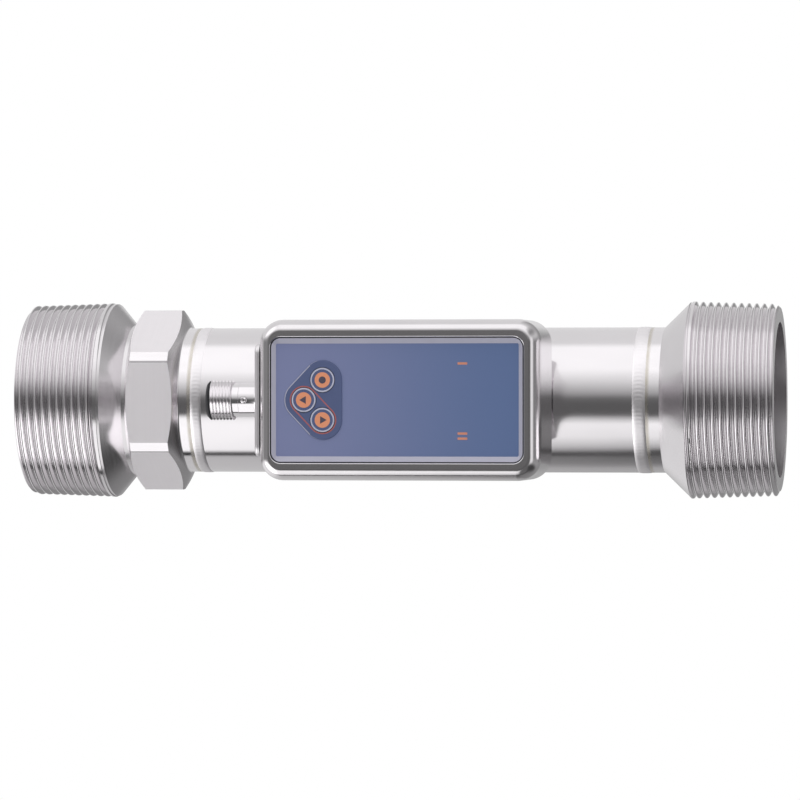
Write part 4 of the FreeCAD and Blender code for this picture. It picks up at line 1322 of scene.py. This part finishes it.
# Greys of the studio round the pipe's axis, as (degrees above the front, grey), from left to right
LEFT_BANDS = [
    (-180, 0.60), (-102, 0.60), (-100, 0.02), (-94, 0.02), (-89, 1.20), (-29, 1.20), (-22, 0.11), (-6, 0.11),
    (3, 0.15), (10, 0.38), (30, 0.88), (47, 1.18), (92, 1.18), (102, 0.80), (180, 0.78),
]
MIDDLE_BANDS = [
    (-180, 0.45), (-140, 0.42), (-120, 0.20), (-98, 0.10), (-89, 0.06), (-80, 0.42), (-60, 0.92), (-38, 1.05),
    (-24, 0.11), (-6, 0.11), (3, 0.15), (10, 0.38), (30, 0.78), (50, 1.15), (92, 1.15), (102, 0.80),
    (180, 0.78),
]
RIGHT_BANDS = [
    (-180, 0.30), (-98, 0.20), (-89, 0.05), (-80, 0.16), (-10, 0.12), (5, 0.12), (32, 0.85), (55, 1.15),
    (92, 1.15), (108, 0.78), (140, 0.45), (180, 0.25),
]

# Greys of the studio's two ends, as (height from -1 to 1, grey)
LEFT_SIDE = [(-1, 0.92), (-0.25, 0.92), (-0.12, 0.24), (0.1, 0.24), (0.4, 0.80), (1, 0.80)]
LEFT_BACK = [(-1, 0.90), (-0.22, 0.90), (-0.18, 0.45), (0.18, 0.45), (0.22, 0.78), (1, 0.78)]
RIGHT_SIDE = [
    (-1, 0.06), (-0.52, 0.06), (-0.35, 0.35), (-0.1, 0.30), (0, 0.22), (0.12, 0.28), (0.36, 0.65),
    (0.6, 0.30), (1, 0.30),
]

# Greys of the strip light at the right, of the two lights beside the inlet and of the backdrop
STRIP_GREY = 0.9
LOW_LIGHT_GREY = 2.3
HIGH_LIGHT_GREY = 1.35
BACKDROP_GREY = 1.0


def grey(level):
    """A neutral colour."""
    return (level, level, level)


def light_studio(stage):
    """Soft panels above and below with a dark gap at eye level, lights at both ends, a white backdrop."""
    world = bpy.data.worlds.new("studio_light")
    bpy.context.scene.world = world
    world.use_nodes = True
    sheet = NodeSheet(world.node_tree)
    x, y, z = sheet.axes("Generated")
    to_left, to_front = x * -1, y * -1
    degrees = 180 / math.pi
    rise = z.angle_from(to_front) * degrees
    bands = [sheet.ramp(rise, -180, 180, stops) for stops in (LEFT_BANDS, MIDDLE_BANDS, RIGHT_BANDS)]
    panels = sheet.mix(x.step(-0.18, -0.12), bands[0], bands[1])
    panels = sheet.mix(x.step(0.00, 0.12), panels, bands[2])
    ends = [sheet.ramp(z, -1, 1, stops) for stops in (LEFT_SIDE, LEFT_BACK, RIGHT_SIDE)]
    left_end = sheet.mix(y.step(0.0, 0.12), ends[0], ends[1])
    panels = sheet.mix(to_left.step(0.22, 0.60), panels, left_end)
    panels = sheet.mix(x.step(0.40, 0.75), panels, ends[2])
    across = x.angle_from(to_front) * degrees
    strip = across.step(34, 48) * (1 - across.step(68, 84)) * (1 - abs(z).step(0.25, 0.45))
    panels = sheet.mix(strip, panels, grey(STRIP_GREY))
    beside = to_left.step(0.32, 0.52) * (1 - y.step(-0.10, 0.12))
    panels = sheet.mix(beside * (z * -1).step(0.18, 0.40), panels, grey(LOW_LIGHT_GREY))
    panels = sheet.mix(beside * z.step(0.20, 0.45), panels, grey(HIGH_LIGHT_GREY))
    seen = sheet.node("ShaderNodeLightPath", output="Is Camera Ray")
    background = world.node_tree.nodes["Background"]
    sheet.put(background.inputs["Color"], sheet.mix(seen, panels, grey(BACKDROP_GREY)))
    background.inputs["Strength"].default_value = stage.light


def pale_floor(stage):
    """Round pale floor under the meter."""
    deselect_all()
    bpy.ops.mesh.primitive_circle_add(
        vertices=128, radius=stage.floor_radius, fill_type="NGON", location=(0, 0, -stage.floor_drop))
    floor = named(bpy.context.object, "studio_floor")
    bpy.ops.object.transform_apply(location=True, rotation=False, scale=False)
    edit(floor, "FACE")
    bpy.ops.mesh.extrude_region_move(TRANSFORM_OT_translate={"value": (0, 0, -stage.floor_thickness)})
    clean(floor)
    paper = Finish("pale_paper", Roughness=0.9)
    paper.feed("Base Color", paper.mix(paper.grain(60), grey(0.80), grey(0.84)))
    floor.data.materials.append(paper.material)
    floor.visible_glossy = False


def place_camera(stage):
    """Camera at the photograph's angle, level with the pipe."""
    data = bpy.data.cameras.new("photo_camera")
    data.lens = stage.lens
    data.sensor_width = 36.0
    data.clip_end = 20.0
    camera = bpy.data.objects.new("photo_camera", data)
    bpy.context.collection.objects.link(camera)
    reach = Vector((math.sin(stage.azimuth), -math.cos(stage.azimuth), 0)) * stage.distance
    camera.location = Vector((stage.aim_x, 0, 0)) + reach
    camera.rotation_euler = (math.pi / 2, 0, stage.azimuth)
    bpy.context.scene.camera = camera


class MeterStep:
    """What the operators of this add-on share."""

    bl_options = {"REGISTER", "UNDO"}


class METER_OT_frame_nodes(MeterStep, bpy.types.Operator):
    """Dress every node of the frame with the finish of its slot"""

    bl_idname = "meter.frame_nodes"
    bl_label = "Dress the inner pieces"

    def execute(self, context):
        dress_frame_nodes()
        return {"FINISHED"}


class METER_OT_pipe(MeterStep, bpy.types.Operator):
    """Model the measuring pipe and its two weld seams"""

    bl_idname = "meter.pipe"
    bl_label = "Pipe and welds"

    def execute(self, context):
        make_measuring_pipe(context.scene.meter_pipe)
        make_weld_seams(context.scene.meter_pipe)
        return {"FINISHED"}


class METER_OT_inlet(MeterStep, bpy.types.Operator):
    """Model the inlet end with its thread and hexagon"""

    bl_idname = "meter.inlet"
    bl_label = "Inlet end"

    def execute(self, context):
        make_inlet_fitting(context.scene.meter_pipe)
        return {"FINISHED"}


class METER_OT_outlet(MeterStep, bpy.types.Operator):
    """Model the outlet end with its thread"""

    bl_idname = "meter.outlet"
    bl_label = "Outlet end"

    def execute(self, context):
        make_outlet_fitting(context.scene.meter_pipe)
        return {"FINISHED"}


class METER_OT_housing(MeterStep, bpy.types.Operator):
    """Model the electronics housing and its saddle"""

    bl_idname = "meter.housing"
    bl_label = "Housing and saddle"

    def execute(self, context):
        make_housing(context.scene.meter_housing)
        make_saddle(context.scene.meter_housing)
        return {"FINISHED"}


class METER_OT_panel(MeterStep, bpy.types.Operator):
    """Model the front panel with its printed marks"""

    bl_idname = "meter.panel"
    bl_label = "Front panel"

    def execute(self, context):
        make_front_panel(context.scene.meter_panel)
        make_printed_marks(context.scene.meter_panel)
        return {"FINISHED"}


class METER_OT_keys(MeterStep, bpy.types.Operator):
    """Model the three push keys"""

    bl_idname = "meter.keys"
    bl_label = "Push keys"

    def execute(self, context):
        make_keys(context.scene.meter_panel)
        return {"FINISHED"}


class METER_OT_connector(MeterStep, bpy.types.Operator):
    """Model the cable connector with its plate, index pin and contacts"""

    bl_idname = "meter.connector"
    bl_label = "Cable connector"

    def execute(self, context):
        sizes = context.scene.meter_connector
        make_connector_plate(sizes)
        make_connector_sleeve(sizes)
        make_index_pin(sizes)
        make_contact_pins(sizes)
        return {"FINISHED"}


class METER_OT_stage(MeterStep, bpy.types.Operator):
    """Set up the floor, the soft light and the camera"""

    bl_idname = "meter.stage"
    bl_label = "Studio"

    def execute(self, context):
        stage = context.scene.meter_stage
        light_studio(stage)
        pale_floor(stage)
        place_camera(stage)
        context.scene.view_settings.view_transform = "Standard"
        return {"FINISHED"}


STEPS = (
    METER_OT_frame_nodes, METER_OT_pipe, METER_OT_inlet, METER_OT_outlet, METER_OT_housing, METER_OT_panel,
    METER_OT_keys, METER_OT_connector, METER_OT_stage,
)
SIZE_GROUPS = {
    "meter_pipe": PipeSizes,
    "meter_housing": HousingSizes,
    "meter_panel": PanelSizes,
    "meter_connector": ConnectorSizes,
    "meter_colours": FinishColours,
    "meter_stage": StageSizes,
}


class METER_PT_pieces(bpy.types.Panel):
    """Sidebar panel that lists the meter's steps"""

    bl_idname = "METER_PT_pieces"
    bl_label = "Ultrasonic flow meter"
    bl_space_type = "VIEW_3D"
    bl_region_type = "UI"
    bl_category = "Flow meter"

    def draw(self, context):
        for step in STEPS:
            self.layout.operator(step.bl_idname)
        for attribute in SIZE_GROUPS:
            group = getattr(context.scene, attribute)
            box = self.layout.box()
            for name in group.__annotations__:
                box.prop(group, name)


def register():
    for attribute, group in SIZE_GROUPS.items():
        bpy.utils.register_class(group)
        setattr(bpy.types.Scene, attribute, PointerProperty(type=group))
    for step in STEPS:
        bpy.utils.register_class(step)
    bpy.utils.register_class(METER_PT_pieces)


def unregister():
    bpy.utils.unregister_class(METER_PT_pieces)
    for step in reversed(STEPS):
        bpy.utils.unregister_class(step)
    for attribute, group in SIZE_GROUPS.items():
        delattr(bpy.types.Scene, attribute)
        bpy.utils.unregister_class(group)


def main():
    """Builds the meter and its studio, step by step."""
    register()
    bpy.ops.meter.frame_nodes()
    bpy.ops.meter.pipe()
    bpy.ops.meter.inlet()
    bpy.ops.meter.outlet()
    bpy.ops.meter.housing()
    bpy.ops.meter.panel()
    bpy.ops.meter.keys()
    bpy.ops.meter.connector()
    bpy.ops.meter.stage()


if __name__ == "__main__":
    main()
